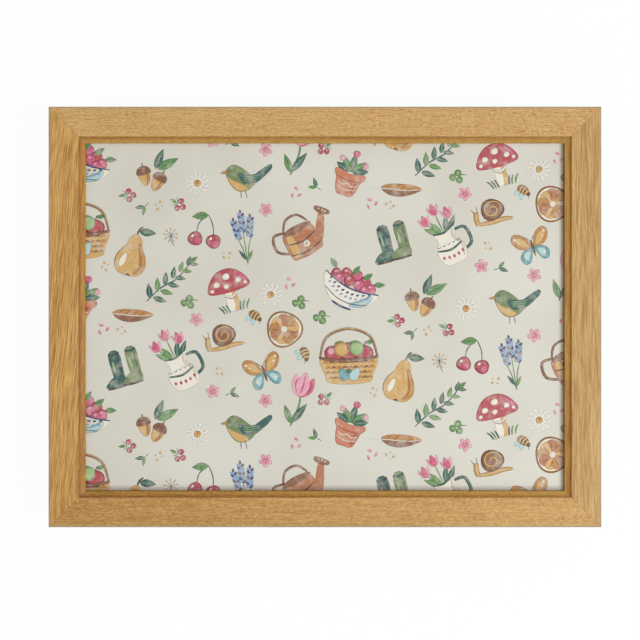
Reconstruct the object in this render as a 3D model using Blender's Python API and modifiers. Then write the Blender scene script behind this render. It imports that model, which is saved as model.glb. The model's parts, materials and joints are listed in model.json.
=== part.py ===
"""Lap tray: a mitred frame round a printed board, on a bean-filled cushion.

Run with: blender --background --python part.py
Lengths are in metres. +Z is up, +X runs along the tray's length, +Y points to its back,
and the origin lies under the tray's centre on the surface that the cushion rests on.
"""

import math

import bmesh
import bpy
from mathutils import Matrix, Vector

# Tray, seen from above
TRAY_LENGTH = 0.435
TRAY_WIDTH = 0.331

# Section of the frame's moulding
RAIL_HEIGHT = 0.022
RAIL_FLAT_WIDTH = 0.0234
RAIL_ARRIS_RADIUS = 0.0012
RAIL_EDGE_RADIUS = 0.0004
BEAD_STEP = 0.0025
BEAD_WIDTH = 0.0052
BEAD_FALL = 0.0020
BEAD_CROWN = 0.0003
LIP_THICKNESS = 0.0022
LIP_OVERHANG = 0.0060
MITRE_GAP = 0.0003

# Board and the sheets on it
PRINT_THICKNESS = 0.0006
BOARD_THICKNESS = 0.0030
BACKING_THICKNESS = 0.0004
BOARD_CLEARANCE = 0.0005

# Clearances that several pieces share
SEAT_GAP = 0.0003
CUT_OVERRUN = 0.0020

# V-nails across the mitres
NAIL_LEG = 0.0070
NAIL_THICKNESS = 0.0007
NAIL_HEIGHT = 0.0100
NAIL_RECESS = 0.0005
NAIL_PLACE_SHARES = (0.22, 0.57)

# Points that keep the board in its rebate
POINT_WIDTH = 0.0090
POINT_BITE = 0.0060
POINT_REACH = 0.0080
POINT_THICKNESS = 0.0005
POINT_SHOULDER_SHARE = 0.3
LONG_RAIL_POINT_SHARES = (-0.34, 0.0, 0.34)
SHORT_RAIL_POINT_SHARES = (-0.25, 0.25)

# Hook-and-loop strips
STRIP_LENGTH = 0.080
STRIP_WIDTH = 0.025
STRIP_THICKNESS = 0.0012
STRIP_CORNER_RADIUS = 0.0030
STRIP_INSET = 0.0120

# Cushion cover
CUSHION_HEIGHT = 0.0551
CUSHION_SETBACK = 0.0165
CUSHION_CORNER_RADIUS = 0.030
SEAM_HEIGHT = 0.029
SIDE_DRAW_IN = 0.0060
DRAW_IN_POWER = 5
DOME_INSET = 0.036
BASE_INSET = 0.040
DOME_POWER = 2.2
BASE_POWER = 3.0
FLATTENING = 0.0005
CLOTH_THICKNESS = 0.0006
PIPING_RADIUS = 0.0020
LINER_SIDE_CLEARANCE = 0.0044
LINER_END_CLEARANCE = 0.0009

# Zip in the lower panel's back wall
ZIP_LENGTH = 0.220
ZIP_BELOW_SEAM = 0.0065
ZIP_SLOT_HEIGHT = 0.0052
ZIP_SPLIT = 0.0014
COIL_WIDTH = 0.0016
COIL_THICKNESS = 0.0016
COIL_END_MARGIN = 0.0040
TAPE_WIDTH = 0.0044
TAPE_THICKNESS = 0.0005
TAPE_CLEARANCE = 0.0006
TAPE_TAIL = 0.0040
STOP_LENGTH = 0.0020
SLIDER_LENGTH = 0.0100
SLIDER_WIDTH = 0.0076
SLIDER_NOSE_SHARE = 0.62
SLIDER_SHOULDER_SHARE = 0.2
SLIDER_PLATE = 0.0009
SLIDER_POST_THICKNESS = 0.0008
SLIDER_POST_LENGTH = 0.0024
SLIDER_CLEARANCE = 0.0005
CROWN_HALF_LENGTH = 0.0026
CROWN_HEIGHT = 0.0027
CROWN_WALL = 0.0009
CROWN_WIDTH = 0.0016
CROWN_ROUND = 0.0010
PULL_LENGTH = 0.0240
PULL_WIDTH = 0.0056
PULL_THICKNESS = 0.0010
PULL_BAR = 0.0010
PULL_EYE_CLEARANCE = 0.0006
PULL_CORNER_RADIUS = 0.0016

# How finely round forms are divided, and what counts as one point or one sharp edge
ARC_STEPS = 4
EDGE_ARC_STEPS = 2
COVER_RINGS = 11
COVER_FLAT_RINGS = 3
WALL_STRIP_STEPS = 24
WALL_STRIP_ROWS = 2
PIPING_SIDES_RESOLUTION = 2
WELD_DISTANCE = 0.00001
SHARP_ANGLE = math.radians(35)

# Heights, stacked from the surface under the cushion
LOOP_Z = CUSHION_HEIGHT + SEAT_GAP
HOOK_Z = LOOP_Z + STRIP_THICKNESS + SEAT_GAP
BACKING_Z = HOOK_Z + STRIP_THICKNESS + SEAT_GAP
POINT_Z = BACKING_Z - SEAT_GAP - POINT_THICKNESS
BOARD_Z = BACKING_Z + BACKING_THICKNESS + SEAT_GAP
PRINT_Z = BOARD_Z + BOARD_THICKNESS + SEAT_GAP
LIP_Z = PRINT_Z + PRINT_THICKNESS + SEAT_GAP
RAIL_TOP_Z = LIP_Z + LIP_THICKNESS + BEAD_FALL + BEAD_STEP
RAIL_BASE_Z = RAIL_TOP_Z - RAIL_HEIGHT
ZIP_Z = SEAM_HEIGHT - ZIP_BELOW_SEAM

# Widths that follow from the moulding
RAIL_BASE_WIDTH = RAIL_FLAT_WIDTH + BEAD_WIDTH - LIP_OVERHANG
BOARD_LENGTH = TRAY_LENGTH - 2 * (RAIL_BASE_WIDTH + BOARD_CLEARANCE)
BOARD_WIDTH = TRAY_WIDTH - 2 * (RAIL_BASE_WIDTH + BOARD_CLEARANCE)
COVER_HALF_LENGTH = TRAY_LENGTH / 2 - CUSHION_SETBACK
COVER_HALF_WIDTH = TRAY_WIDTH / 2 - CUSHION_SETBACK

# How far the zip's tapes and coils stand ahead of the lower panel's outer face
TAPE_FRONT = -(CLOTH_THICKNESS + TAPE_CLEARANCE)
COIL_FRONT = TAPE_FRONT + SEAT_GAP + COIL_THICKNESS

# The tray's corners by quarter turns, each with its side in x and in y
CORNERS = (
    ("front_left", -1, -1),
    ("front_right", 1, -1),
    ("back_right", 1, 1),
    ("back_left", -1, 1),
)

# Quarter turns: outline upright in the XZ plane with its thickness towards -Y, and the
# moulding's section in the YZ plane with its length along +X
UPRIGHT = Matrix.Rotation(math.pi / 2, 4, "X")
ALONG_RAIL = Matrix(((0, 0, 1, 0), (1, 0, 0, 0), (0, 1, 0, 0), (0, 0, 0, 1)))

FINISHES = {
    "oak_moulding": ((0.51, 0.32, 0.14), 0.45, 0.0),
    "printed_laminate": ((0.68, 0.63, 0.53), 0.35, 0.0),
    "fibre_board": ((0.36, 0.25, 0.15), 0.80, 0.0),
    "backing_paper": ((0.40, 0.28, 0.17), 0.85, 0.0),
    "zinc_steel": ((0.56, 0.57, 0.58), 0.35, 1.0),
    "hook_tape": ((0.05, 0.05, 0.05), 0.80, 0.0),
    "loop_tape": ((0.08, 0.08, 0.08), 0.95, 0.0),
    "cover_cotton": ((0.55, 0.49, 0.39), 0.90, 0.0),
    "piping_cotton": ((0.47, 0.41, 0.32), 0.90, 0.0),
    "liner_cloth": ((0.80, 0.79, 0.76), 0.90, 0.0),
    "zip_tape_cloth": ((0.45, 0.40, 0.32), 0.85, 0.0),
    "zip_nylon": ((0.42, 0.37, 0.29), 0.45, 0.0),
    "zip_metal": ((0.45, 0.43, 0.40), 0.35, 1.0),
}


def clear_scene():
    for obj in list(bpy.data.objects):
        bpy.data.objects.remove(obj, do_unlink=True)


def new_collection(name):
    collection = bpy.data.collections.new(name)
    bpy.context.scene.collection.children.link(collection)
    return collection


def finish(name):
    """The Principled material of one finish, made once."""
    found = bpy.data.materials.get(name)
    if found:
        return found
    colour, roughness, metallic = FINISHES[name]
    made = bpy.data.materials.new(name)
    made.use_nodes = True
    made.diffuse_color = (*colour, 1)
    shader = made.node_tree.nodes["Principled BSDF"]
    shader.inputs["Base Color"].default_value = (*colour, 1)
    shader.inputs["Roughness"].default_value = roughness
    shader.inputs["Metallic"].default_value = metallic
    return made


def place(name, mesh, finish_name, parent, location=(0, 0, 0)):
    """Put a mesh into the lap tray as the object of one piece, riding on its parent empty."""
    obj = bpy.data.objects.new(name, mesh)
    PIECES.objects.link(obj)
    mesh.materials.clear()
    mesh.materials.append(finish(finish_name))
    obj.parent = parent
    obj.location = Vector(location) - parent.location
    return obj


def place_cutter(name, mesh, location=(0, 0, 0), turn=0.0):
    cutter = bpy.data.objects.new(name, mesh)
    CUTTERS.objects.link(cutter)
    cutter.location = location
    cutter.rotation_euler.z = turn
    cutter.hide_render = True
    cutter.display_type = "WIRE"
    return cutter


def empty(name, location):
    marker = bpy.data.objects.new(name, None)
    PIECES.objects.link(marker)
    marker.empty_display_size = PULL_LENGTH
    marker.location = location
    return marker


def use_boolean(obj, other, operation="DIFFERENCE"):
    modifier = obj.modifiers.new(f"{operation.lower()} {other.name}", "BOOLEAN")
    modifier.solver = "EXACT"
    modifier.operation = operation
    modifier.object = other


def sheet_mesh(name, bm):
    """Mesh of an open sheet, whose faces already point the right way."""
    mesh = bpy.data.meshes.new(name)
    bm.to_mesh(mesh)
    bm.free()
    mesh.shade_smooth()
    mesh.set_sharp_from_angle(angle=SHARP_ANGLE)
    return mesh


def solid_mesh(name, bm):
    """Mesh of a closed body, its faces turned outwards."""
    bmesh.ops.recalc_face_normals(bm, faces=bm.faces)
    return sheet_mesh(name, bm)


def box_mesh(name, low, high):
    """A box between two opposite corners."""
    low, high = Vector(low), Vector(high)
    size = Matrix.Diagonal((*(high - low), 1))
    bm = bmesh.new()
    bmesh.ops.create_cube(bm, size=1, matrix=Matrix.Translation((low + high) / 2) @ size)
    return solid_mesh(name, bm)


def arc(centre, radius, start, end, steps=ARC_STEPS):
    """Points on a circular arc, both ends included, with angles in radians."""
    angles = [start + (end - start) * step / steps for step in range(steps + 1)]
    return [
        (centre[0] + radius * math.cos(angle), centre[1] + radius * math.sin(angle))
        for angle in angles
    ]


def rounded_rectangle(length, width, radius):
    """Corner arcs of a rectangle round the origin, anticlockwise."""
    x, y = length / 2 - radius, width / 2 - radius
    corners = ((x, y), (-x, y), (-x, -y), (x, -y))
    points = []
    for quarter, corner in enumerate(corners):
        start = quarter * math.pi / 2
        points += arc(corner, radius, start, start + math.pi / 2)
    return points


def outline_mesh(name, outlines, thickness, turn=Matrix.Identity(4)):
    """A flat outline, with any holes as further outlines, given a thickness.

    The outline is drawn in XY and its thickness rises from z = 0, before the turn.
    """
    curve = bpy.data.curves.new(name, "CURVE")
    curve.dimensions = "2D"
    curve.fill_mode = "BOTH"
    curve.extrude = thickness / 2
    for points in outlines:
        spline = curve.splines.new("POLY")
        spline.points.add(len(points) - 1)
        for point, (x, y) in zip(spline.points, points):
            point.co = (x, y, 0, 1)
        spline.use_cyclic_u = True
    drawn = bpy.data.objects.new(name, curve)
    CUTTERS.objects.link(drawn)
    view = bpy.context.evaluated_depsgraph_get()
    mesh = bpy.data.meshes.new_from_object(drawn.evaluated_get(view))
    bpy.data.objects.remove(drawn, do_unlink=True)
    bm = bmesh.new()
    bm.from_mesh(mesh)
    bpy.data.meshes.remove(mesh)
    bmesh.ops.remove_doubles(bm, verts=bm.verts, dist=WELD_DISTANCE)
    lift = Matrix.Translation((0, 0, thickness / 2))
    bmesh.ops.transform(bm, matrix=turn @ lift, verts=bm.verts)
    return solid_mesh(name, bm)


def moulding_section():
    """Section of the rail: x runs inwards from its outer face, y up from its base."""
    flat_end = RAIL_FLAT_WIDTH
    lip_end = flat_end + BEAD_WIDTH
    lip_base = LIP_Z - RAIL_BASE_Z
    lip_top = lip_base + LIP_THICKNESS
    bead_top = lip_top + BEAD_FALL
    edge = RAIL_EDGE_RADIUS
    points = [(0, 0)]
    points += [(RAIL_BASE_WIDTH, 0), (RAIL_BASE_WIDTH, lip_base), (lip_end, lip_base)]
    points += arc((lip_end - edge, lip_top - edge), edge, 0, math.pi / 2, EDGE_ARC_STEPS)
    for step in range(1, ARC_STEPS):
        along = step / ARC_STEPS
        across = lip_end - edge - (BEAD_WIDTH - edge) * along
        crown = BEAD_CROWN * math.sin(math.pi * along)
        points.append((across, lip_top + BEAD_FALL * along + crown))
    points.append((flat_end, bead_top))
    points += arc((flat_end - edge, RAIL_HEIGHT - edge), edge, 0, math.pi / 2, EDGE_ARC_STEPS)
    arris = RAIL_ARRIS_RADIUS
    points += arc((arris, RAIL_HEIGHT - arris), arris, math.pi / 2, math.pi)
    return points


def rail_mesh(name, length, span):
    """A rail along X whose outer face lies at y = -span / 2, mitred at both ends."""
    section = outline_mesh(name, [moulding_section()], length, ALONG_RAIL)
    bm = bmesh.new()
    bm.from_mesh(section)
    bpy.data.meshes.remove(section)
    corner = Vector((length / 2, -span / 2, 0))
    bmesh.ops.translate(bm, verts=bm.verts, vec=(-corner.x, corner.y, RAIL_BASE_Z))
    for side in (-1, 1):
        outwards = Vector((side, 1, 0)).normalized()
        through = Vector((side * corner.x, corner.y, 0)) - outwards * MITRE_GAP / 2
        whole = bm.verts[:] + bm.edges[:] + bm.faces[:]
        cut = bmesh.ops.bisect_plane(
            bm, geom=whole, plane_co=through, plane_no=outwards, clear_outer=True
        )
        rim = [item for item in cut["geom_cut"] if isinstance(item, bmesh.types.BMEdge)]
        bmesh.ops.edgeloop_fill(bm, edges=rim)
    return solid_mesh(name, bm)


def add_rails(tray):
    """Four rails, each turned to its side, with pockets for the nails and points."""
    sides = (
        ("front", 0, TRAY_LENGTH, TRAY_WIDTH),
        ("right", 1, TRAY_WIDTH, TRAY_LENGTH),
        ("back", 2, TRAY_LENGTH, TRAY_WIDTH),
        ("left", 3, TRAY_WIDTH, TRAY_LENGTH),
    )
    pockets = nail_pockets()
    for side, quarter, length, span in sides:
        mesh = rail_mesh(f"rail_{side}", length, span)
        turn = Matrix.Rotation(quarter * math.pi / 2, 4, "Z")
        mesh.transform(turn)
        rail = place(f"rail_{side}", mesh, "oak_moulding", tray)
        for corner in side_corners(quarter):
            for pocket in pockets[corner]:
                use_boolean(rail, pocket)
        shares = LONG_RAIL_POINT_SHARES if quarter % 2 == 0 else SHORT_RAIL_POINT_SHARES
        for number, share in enumerate(shares, 1):
            use_boolean(rail, add_point(f"{side}_{number}", turn, length * share, span, tray))


def side_corners(quarter):
    """Numbers of the two corners that a rail ends in."""
    return quarter, (quarter + 1) % len(CORNERS)


def angle_outline(grow=0.0):
    """Outline of a V-nail with its legs along +X and +Y, grown all round."""
    near = -grow
    inner = NAIL_THICKNESS + grow
    tip = NAIL_LEG + grow
    return [(near, near), (tip, near), (tip, inner), (inner, inner), (inner, tip), (near, tip)]


def nail_places():
    """Corner number, label, place and turn of each V-nail."""
    for corner, (label, side_x, side_y) in enumerate(CORNERS):
        for number, share in enumerate(NAIL_PLACE_SHARES, 1):
            inset = RAIL_BASE_WIDTH * share
            x = side_x * (TRAY_LENGTH / 2 - inset)
            y = side_y * (TRAY_WIDTH / 2 - inset)
            where = Vector((x, y, RAIL_BASE_Z + NAIL_RECESS))
            yield corner, f"{label}_{number}", where, corner * math.pi / 2


def nail_pockets():
    """Cutters for the V-nails, open at the rails' base, listed by corner."""
    drop = NAIL_RECESS + CUT_OVERRUN
    mesh = outline_mesh("nail_pocket", [angle_outline(SEAT_GAP)], NAIL_HEIGHT + SEAT_GAP + drop)
    pockets = [[] for _ in CORNERS]
    for corner, label, where, turn in nail_places():
        where = where - Vector((0, 0, drop))
        pockets[corner].append(place_cutter(f"nail_pocket_{label}", mesh, where, turn))
    return pockets


def add_nails(tray):
    """V-nails driven into the mitres from below."""
    for _, label, where, turn in nail_places():
        mesh = outline_mesh("v_nail", [angle_outline()], NAIL_HEIGHT)
        nail = place(f"v_nail_{label}", mesh, "zinc_steel", tray, where)
        nail.rotation_euler.z = turn


def add_point(label, turn, along, span, tray):
    """A flat metal point fired into a rebate wall, and the cutter of its pocket."""
    half = POINT_WIDTH / 2
    shoulder = POINT_BITE * POINT_SHOULDER_SHARE
    outline = [
        (-half, POINT_REACH),
        (-half, -shoulder),
        (0, -POINT_BITE),
        (half, -shoulder),
        (half, POINT_REACH),
    ]
    mesh = outline_mesh("retaining_point", [outline], POINT_THICKNESS)
    wall = Vector((along, RAIL_BASE_WIDTH - span / 2, POINT_Z))
    mesh.transform(turn @ Matrix.Translation(wall))
    place(f"retaining_point_{label}", mesh, "zinc_steel", tray)
    low = wall - Vector((half + SEAT_GAP, POINT_BITE + SEAT_GAP, SEAT_GAP))
    high = wall + Vector((half + SEAT_GAP, CUT_OVERRUN, POINT_THICKNESS + SEAT_GAP))
    pocket = box_mesh("point_pocket", low, high)
    pocket.transform(turn)
    return place_cutter(f"point_pocket_{label}", pocket)


def add_board(tray):
    """Print, stiff board and backing paper, all cut to the rebate."""
    layers = (
        ("print_sheet", PRINT_Z, PRINT_THICKNESS, "printed_laminate"),
        ("tray_board", BOARD_Z, BOARD_THICKNESS, "fibre_board"),
        ("backing_sheet", BACKING_Z, BACKING_THICKNESS, "backing_paper"),
    )
    for name, base, thickness, finish_name in layers:
        low = (-BOARD_LENGTH / 2, -BOARD_WIDTH / 2, base)
        high = (BOARD_LENGTH / 2, BOARD_WIDTH / 2, base + thickness)
        place(name, box_mesh(name, low, high), finish_name, tray)


def add_strips(tray, cushion):
    """Hook strips under the backing and loop strips on the cushion, one pair a corner."""
    x = COVER_HALF_LENGTH - DOME_INSET - STRIP_INSET - STRIP_LENGTH / 2
    y = COVER_HALF_WIDTH - DOME_INSET - STRIP_INSET - STRIP_WIDTH / 2
    outline = rounded_rectangle(STRIP_LENGTH, STRIP_WIDTH, STRIP_CORNER_RADIUS)
    for label, side_x, side_y in CORNERS:
        for kind, base, carrier in (("hook", HOOK_Z, tray), ("loop", LOOP_Z, cushion)):
            mesh = outline_mesh(f"{kind}_strip", [outline], STRIP_THICKNESS)
            name = f"{kind}_strip_{label}"
            place(name, mesh, f"{kind}_tape", carrier, (side_x * x, side_y * y, base))


def draw_in(along, half, radius):
    """How far a side is drawn in at a distance from its middle, down to none at its corners."""
    corner = half - radius * (1 - math.cos(math.pi / 4))
    return SIDE_DRAW_IN * (1 - (abs(along) / corner) ** DRAW_IN_POWER)


def square_to_outline(u, v, half_length, half_width, radius):
    """Where a point on the edge of the square from -1 to 1 lies on the cushion's outline.

    The outline is a rectangle with round corners whose sides draw in between them.
    """
    across = abs(v) >= abs(u)
    share = abs(u) if across else abs(v)
    long_half, short_half = (half_length, half_width) if across else (half_width, half_length)
    straight = long_half - radius
    run = share * (straight + radius * math.pi / 4)
    turned = max(run - straight, 0) / radius
    along = min(run, straight) + radius * math.sin(turned)
    out = short_half - radius * (1 - math.cos(turned))
    x, y = (along, out) if across else (out, along)
    draw_x = draw_in(y, half_width, radius) * x / half_length
    draw_y = draw_in(x, half_length, radius) * y / half_width
    return math.copysign(x - draw_x, u), math.copysign(y - draw_y, v)


def cover_side(climb, power):
    """Inward and upward shares of the cover's round side, for a climb from 0 to 1."""
    angle = climb ** (power / 2) * math.pi / 2
    inwards = 1 - max(math.cos(angle), 0) ** (2 / power)
    upwards = math.sin(angle) ** (2 / power)
    return inwards, upwards


def cover_point(u, v, upper, side_offset=0.0, end_offset=0.0):
    """Where a point of the square from -1 to 1 lies on the upper or lower half of the cover.

    The offsets move the whole surface inwards, at its sides and at its flat ends.
    """
    half_length = COVER_HALF_LENGTH - side_offset
    half_width = COVER_HALF_WIDTH - side_offset
    radius = CUSHION_CORNER_RADIUS - side_offset
    ring = max(abs(u), abs(v))
    flat = COVER_FLAT_RINGS / COVER_RINGS
    climb = min((1 - ring) / (1 - flat), 1)
    depth, power = (DOME_INSET, DOME_POWER) if upper else (BASE_INSET, BASE_POWER)
    inwards, upwards = cover_side(climb, power)
    x, y = (0, 0)
    if ring > 0:
        x, y = square_to_outline(u / ring, v / ring, half_length, half_width, radius)
    shrink = min(ring / flat, 1)
    x *= (1 - inwards * depth / half_length) * shrink
    y *= (1 - inwards * depth / half_width) * shrink
    flat_z = CUSHION_HEIGHT - end_offset if upper else end_offset
    full_rise = flat_z - SEAM_HEIGHT + (FLATTENING if upper else -FLATTENING)
    z = SEAM_HEIGHT + full_rise * upwards
    z = min(z, flat_z) if upper else max(z, flat_z)
    return Vector((x, y, z))


def diagonal_corners(face):
    """Corners of a cell of the square's grid that lie on the square's diagonals."""
    quarter_cell = 1 / COVER_RINGS / 4
    return [v for v in face.verts if abs(abs(v.co.x) - abs(v.co.y)) < quarter_cell]


def cover_grid(bm, upper, side_offset=0.0, end_offset=0.0):
    """Add one half of the cover's surface to bm as a shaped grid, facing out."""
    steps = 2 * COVER_RINGS
    made = bmesh.ops.create_grid(bm, x_segments=steps, y_segments=steps, size=1)
    for face in {face for vertex in made["verts"] for face in vertex.link_faces}:
        ends = diagonal_corners(face)
        if len(ends) == 2:
            bmesh.utils.face_split(face, *ends)
    for vertex in made["verts"]:
        u, v = vertex.co.x, vertex.co.y
        vertex.co = cover_point(u, v, upper, side_offset, end_offset)
    if not upper:
        faces = {face for vertex in made["verts"] for face in vertex.link_faces}
        bmesh.ops.reverse_faces(bm, faces=list(faces))
    return made["verts"]


def panel_mesh(name, upper):
    """Half of the cover as an open sheet, whose rim stops half a gap short of the seam."""
    bm = bmesh.new()
    lift = SEAT_GAP / 2 if upper else -SEAT_GAP / 2
    for vertex in cover_grid(bm, upper):
        if vertex.is_boundary:
            vertex.co.z += lift
    return sheet_mesh(name, bm)


def add_cover(cushion):
    """The two panels of the cover, the lower one with its slot for the zip."""
    for name, upper in (("cushion_upper_panel", True), ("cushion_lower_panel", False)):
        panel = place(name, panel_mesh(name, upper), "cover_cotton", cushion)
        cloth = panel.modifiers.new("cloth", "SOLIDIFY")
        cloth.thickness = CLOTH_THICKNESS
        cloth.offset = -1
        if not upper:
            use_boolean(panel, zip_slot())


def zip_slot():
    """Cutter of the slot that the zip shows through."""
    reach = LINER_SIDE_CLEARANCE + CUT_OVERRUN
    wall = back_wall(0, ZIP_Z)
    low = (-ZIP_LENGTH / 2, wall - reach, ZIP_Z - ZIP_SLOT_HEIGHT / 2)
    high = (ZIP_LENGTH / 2, wall + reach, ZIP_Z + ZIP_SLOT_HEIGHT / 2)
    return place_cutter("zip_slot", box_mesh("zip_slot", low, high))


def add_piping(cushion):
    """Round cord in the seam, outside the panels' rims."""
    grow = SEAT_GAP + PIPING_RADIUS
    steps = 2 * COVER_RINGS
    shares = [2 * step / steps - 1 for step in range(steps)]
    edge = [(share, -1) for share in shares] + [(1, share) for share in shares]
    edge += [(-share, 1) for share in shares] + [(-1, -share) for share in shares]
    curve = bpy.data.curves.new("cushion_piping", "CURVE")
    curve.dimensions = "3D"
    curve.bevel_depth = PIPING_RADIUS
    curve.bevel_resolution = PIPING_SIDES_RESOLUTION
    spline = curve.splines.new("POLY")
    spline.points.add(len(edge) - 1)
    for point, (u, v) in zip(spline.points, edge):
        half_length, half_width = COVER_HALF_LENGTH + grow, COVER_HALF_WIDTH + grow
        x, y = square_to_outline(u, v, half_length, half_width, CUSHION_CORNER_RADIUS + grow)
        point.co = (x, y, SEAM_HEIGHT, 1)
    spline.use_cyclic_u = True
    place("cushion_piping", curve, "piping_cotton", cushion)


def add_liner(cushion):
    """The bag of beads, a closed form inside the cover."""
    bm = bmesh.new()
    for upper in (True, False):
        cover_grid(bm, upper, LINER_SIDE_CLEARANCE, LINER_END_CLEARANCE)
    bmesh.ops.remove_doubles(bm, verts=bm.verts, dist=WELD_DISTANCE)
    name = "bead_filled_liner"
    place(name, solid_mesh(name, bm), "liner_cloth", cushion)


def back_wall(x, z):
    """How far back the lower panel's outer face lies, at x along it and at height z."""
    fall = (SEAM_HEIGHT - z) / (SEAM_HEIGHT + FLATTENING)
    fall = max(fall, 0)
    inset = BASE_INSET * (1 - (1 - fall**BASE_POWER) ** (1 / BASE_POWER))
    draw = draw_in(x, COVER_HALF_LENGTH, CUSHION_CORNER_RADIUS)
    return (COVER_HALF_WIDTH - draw) * (1 - inset / COVER_HALF_WIDTH)


def wall_strip_mesh(name, half_length, low_z, high_z, front):
    """An open strip that follows the back wall, front ahead of its outer face."""
    bm = bmesh.new()
    bmesh.ops.create_grid(bm, x_segments=WALL_STRIP_STEPS, y_segments=WALL_STRIP_ROWS, size=1)
    for vertex in bm.verts:
        x = vertex.co.x * half_length
        z = low_z + (high_z - low_z) * (vertex.co.y + 1) / 2
        vertex.co = (x, back_wall(x, z) + front, z)
    bmesh.ops.reverse_faces(bm, faces=bm.faces)
    return sheet_mesh(name, bm)


def add_zip_half(label, way, cushion):
    """One tape behind the slot, and the coil on its edge; way is 1 above the split, -1 below."""
    near = ZIP_Z + way * ZIP_SPLIT / 2
    tape_half = ZIP_LENGTH / 2 + TAPE_TAIL
    coil_half = ZIP_LENGTH / 2 - COIL_END_MARGIN
    strips = (
        ("tape", tape_half, TAPE_WIDTH, TAPE_FRONT, TAPE_THICKNESS, "zip_tape_cloth"),
        ("coil", coil_half, COIL_WIDTH, COIL_FRONT, COIL_THICKNESS, "zip_nylon"),
    )
    for kind, half_length, width, front, thickness, finish_name in strips:
        low, high = sorted((near, near + way * width))
        name = f"zip_{kind}_{label}"
        mesh = wall_strip_mesh(name, half_length, low, high, front)
        depth = place(name, mesh, finish_name, cushion).modifiers.new("thickness", "SOLIDIFY")
        depth.thickness = thickness
        depth.offset = -1


def add_zip_stops(cushion):
    """A metal stop past either end of the coils."""
    coil_half = ZIP_LENGTH / 2 - COIL_END_MARGIN
    half_height = ZIP_SPLIT / 2 + COIL_WIDTH
    wall = back_wall(coil_half, ZIP_Z)
    near = coil_half + SEAT_GAP
    for label, way in (("closed", 1), ("open", -1)):
        ends = sorted((way * near, way * (near + STOP_LENGTH)))
        low = (ends[0], wall + TAPE_FRONT + SEAT_GAP, ZIP_Z - half_height)
        high = (ends[1], wall + COIL_FRONT, ZIP_Z + half_height)
        name = f"zip_stop_{label}_end"
        place(name, box_mesh(name, low, high), "zip_metal", cushion)


def slider_travel():
    """How far the slider runs between the stops."""
    return ZIP_LENGTH - 2 * COIL_END_MARGIN - SLIDER_LENGTH


def slider_outline():
    """Outline of a slider plate: wide towards the closed end, narrow over the closed chain."""
    half, wide = SLIDER_LENGTH / 2, SLIDER_WIDTH / 2
    nose = wide * SLIDER_NOSE_SHARE
    shoulder = -half * SLIDER_SHOULDER_SHARE
    lower = [(-half, -nose), (shoulder, -wide), (half, -wide)]
    return lower + [(x, -y) for x, y in reversed(lower)]


def crown_outline():
    """The slider's arch over the pull's bar: x along the zip, y out from the plate."""
    outer, inner = CROWN_HALF_LENGTH, CROWN_HALF_LENGTH - CROWN_WALL
    sunk = -SLIDER_PLATE / 2
    round_x, round_y = outer - CROWN_ROUND, CROWN_HEIGHT - CROWN_ROUND
    points = [(-inner, sunk), (-outer, sunk)]
    points += arc((-round_x, round_y), CROWN_ROUND, math.pi, math.pi / 2)
    points += arc((round_x, round_y), CROWN_ROUND, math.pi / 2, 0)
    points += [(outer, sunk), (inner, sunk)]
    return points + [(inner, CROWN_HEIGHT - CROWN_WALL), (-inner, CROWN_HEIGHT - CROWN_WALL)]


def slider_levels():
    """Fronts of the slider's outer and inner plates, and the pull's axis, as y values."""
    coil_top = ZIP_Z + ZIP_SPLIT / 2 + COIL_WIDTH
    slider_base = ZIP_Z - SLIDER_WIDTH / 2
    coil_face = back_wall(ZIP_LENGTH / 2, coil_top) + COIL_FRONT
    tape_back = back_wall(0, slider_base) + TAPE_FRONT - TAPE_THICKNESS
    outer_front = coil_face + SEAT_GAP + SLIDER_PLATE
    inner_front = tape_back - SLIDER_CLEARANCE
    axis = outer_front + SEAT_GAP + PULL_THICKNESS / 2
    return outer_front, inner_front, axis


def add_slider(slider):
    """Slider: two plates, the post between them and the arch that carries the pull."""
    outer_front, inner_front, _ = slider_levels()
    start = slider.location
    name = "zip_slider"
    plate = outline_mesh(name, [slider_outline()], SLIDER_PLATE, UPRIGHT)
    body = place(name, plate, "zip_metal", slider, (start.x, outer_front, start.z))
    inner = outline_mesh("slider_inner_plate", [slider_outline()], SLIDER_PLATE, UPRIGHT)
    sink = SLIDER_PLATE / 2
    post = box_mesh(
        "slider_post",
        (SLIDER_LENGTH / 2 - SLIDER_POST_LENGTH, inner_front - sink, -SLIDER_POST_THICKNESS / 2),
        (SLIDER_LENGTH / 2 - sink, outer_front - sink, SLIDER_POST_THICKNESS / 2),
    )
    crown = outline_mesh("slider_crown", [crown_outline()], CROWN_WIDTH)
    joined = (
        ("slider_inner_plate", inner, (start.x, inner_front, start.z)),
        ("slider_post", post, (start.x, 0, start.z)),
        ("slider_crown", crown, (start.x, outer_front, start.z - CROWN_WIDTH / 2)),
    )
    for label, mesh, where in joined:
        use_boolean(body, place_cutter(label, mesh, where), "UNION")


def add_pull(pull):
    """Pull tab, with an eye whose end bar lies under the slider's arch."""
    eye_start = PULL_BAR / 2
    eye_end = CROWN_HALF_LENGTH + PULL_EYE_CLEARANCE + PULL_THICKNESS / 2
    eye_half = CROWN_WIDTH / 2 + PULL_EYE_CLEARANCE
    length = PULL_LENGTH + PULL_BAR / 2
    outer = rounded_rectangle(length, PULL_WIDTH, PULL_CORNER_RADIUS)
    middle = PULL_BAR / 2 - length / 2
    outer = [(x + middle, y) for x, y in outer]
    eye = [(-eye_start, -eye_half), (-eye_start, eye_half)]
    eye += [(-eye_end, eye_half), (-eye_end, -eye_half)]
    turn = Matrix.Translation((0, PULL_THICKNESS / 2, 0)) @ UPRIGHT
    mesh = outline_mesh("zip_pull", [outer, eye], PULL_THICKNESS, turn)
    place("zip_pull", mesh, "zip_metal", pull, pull.location)


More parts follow.
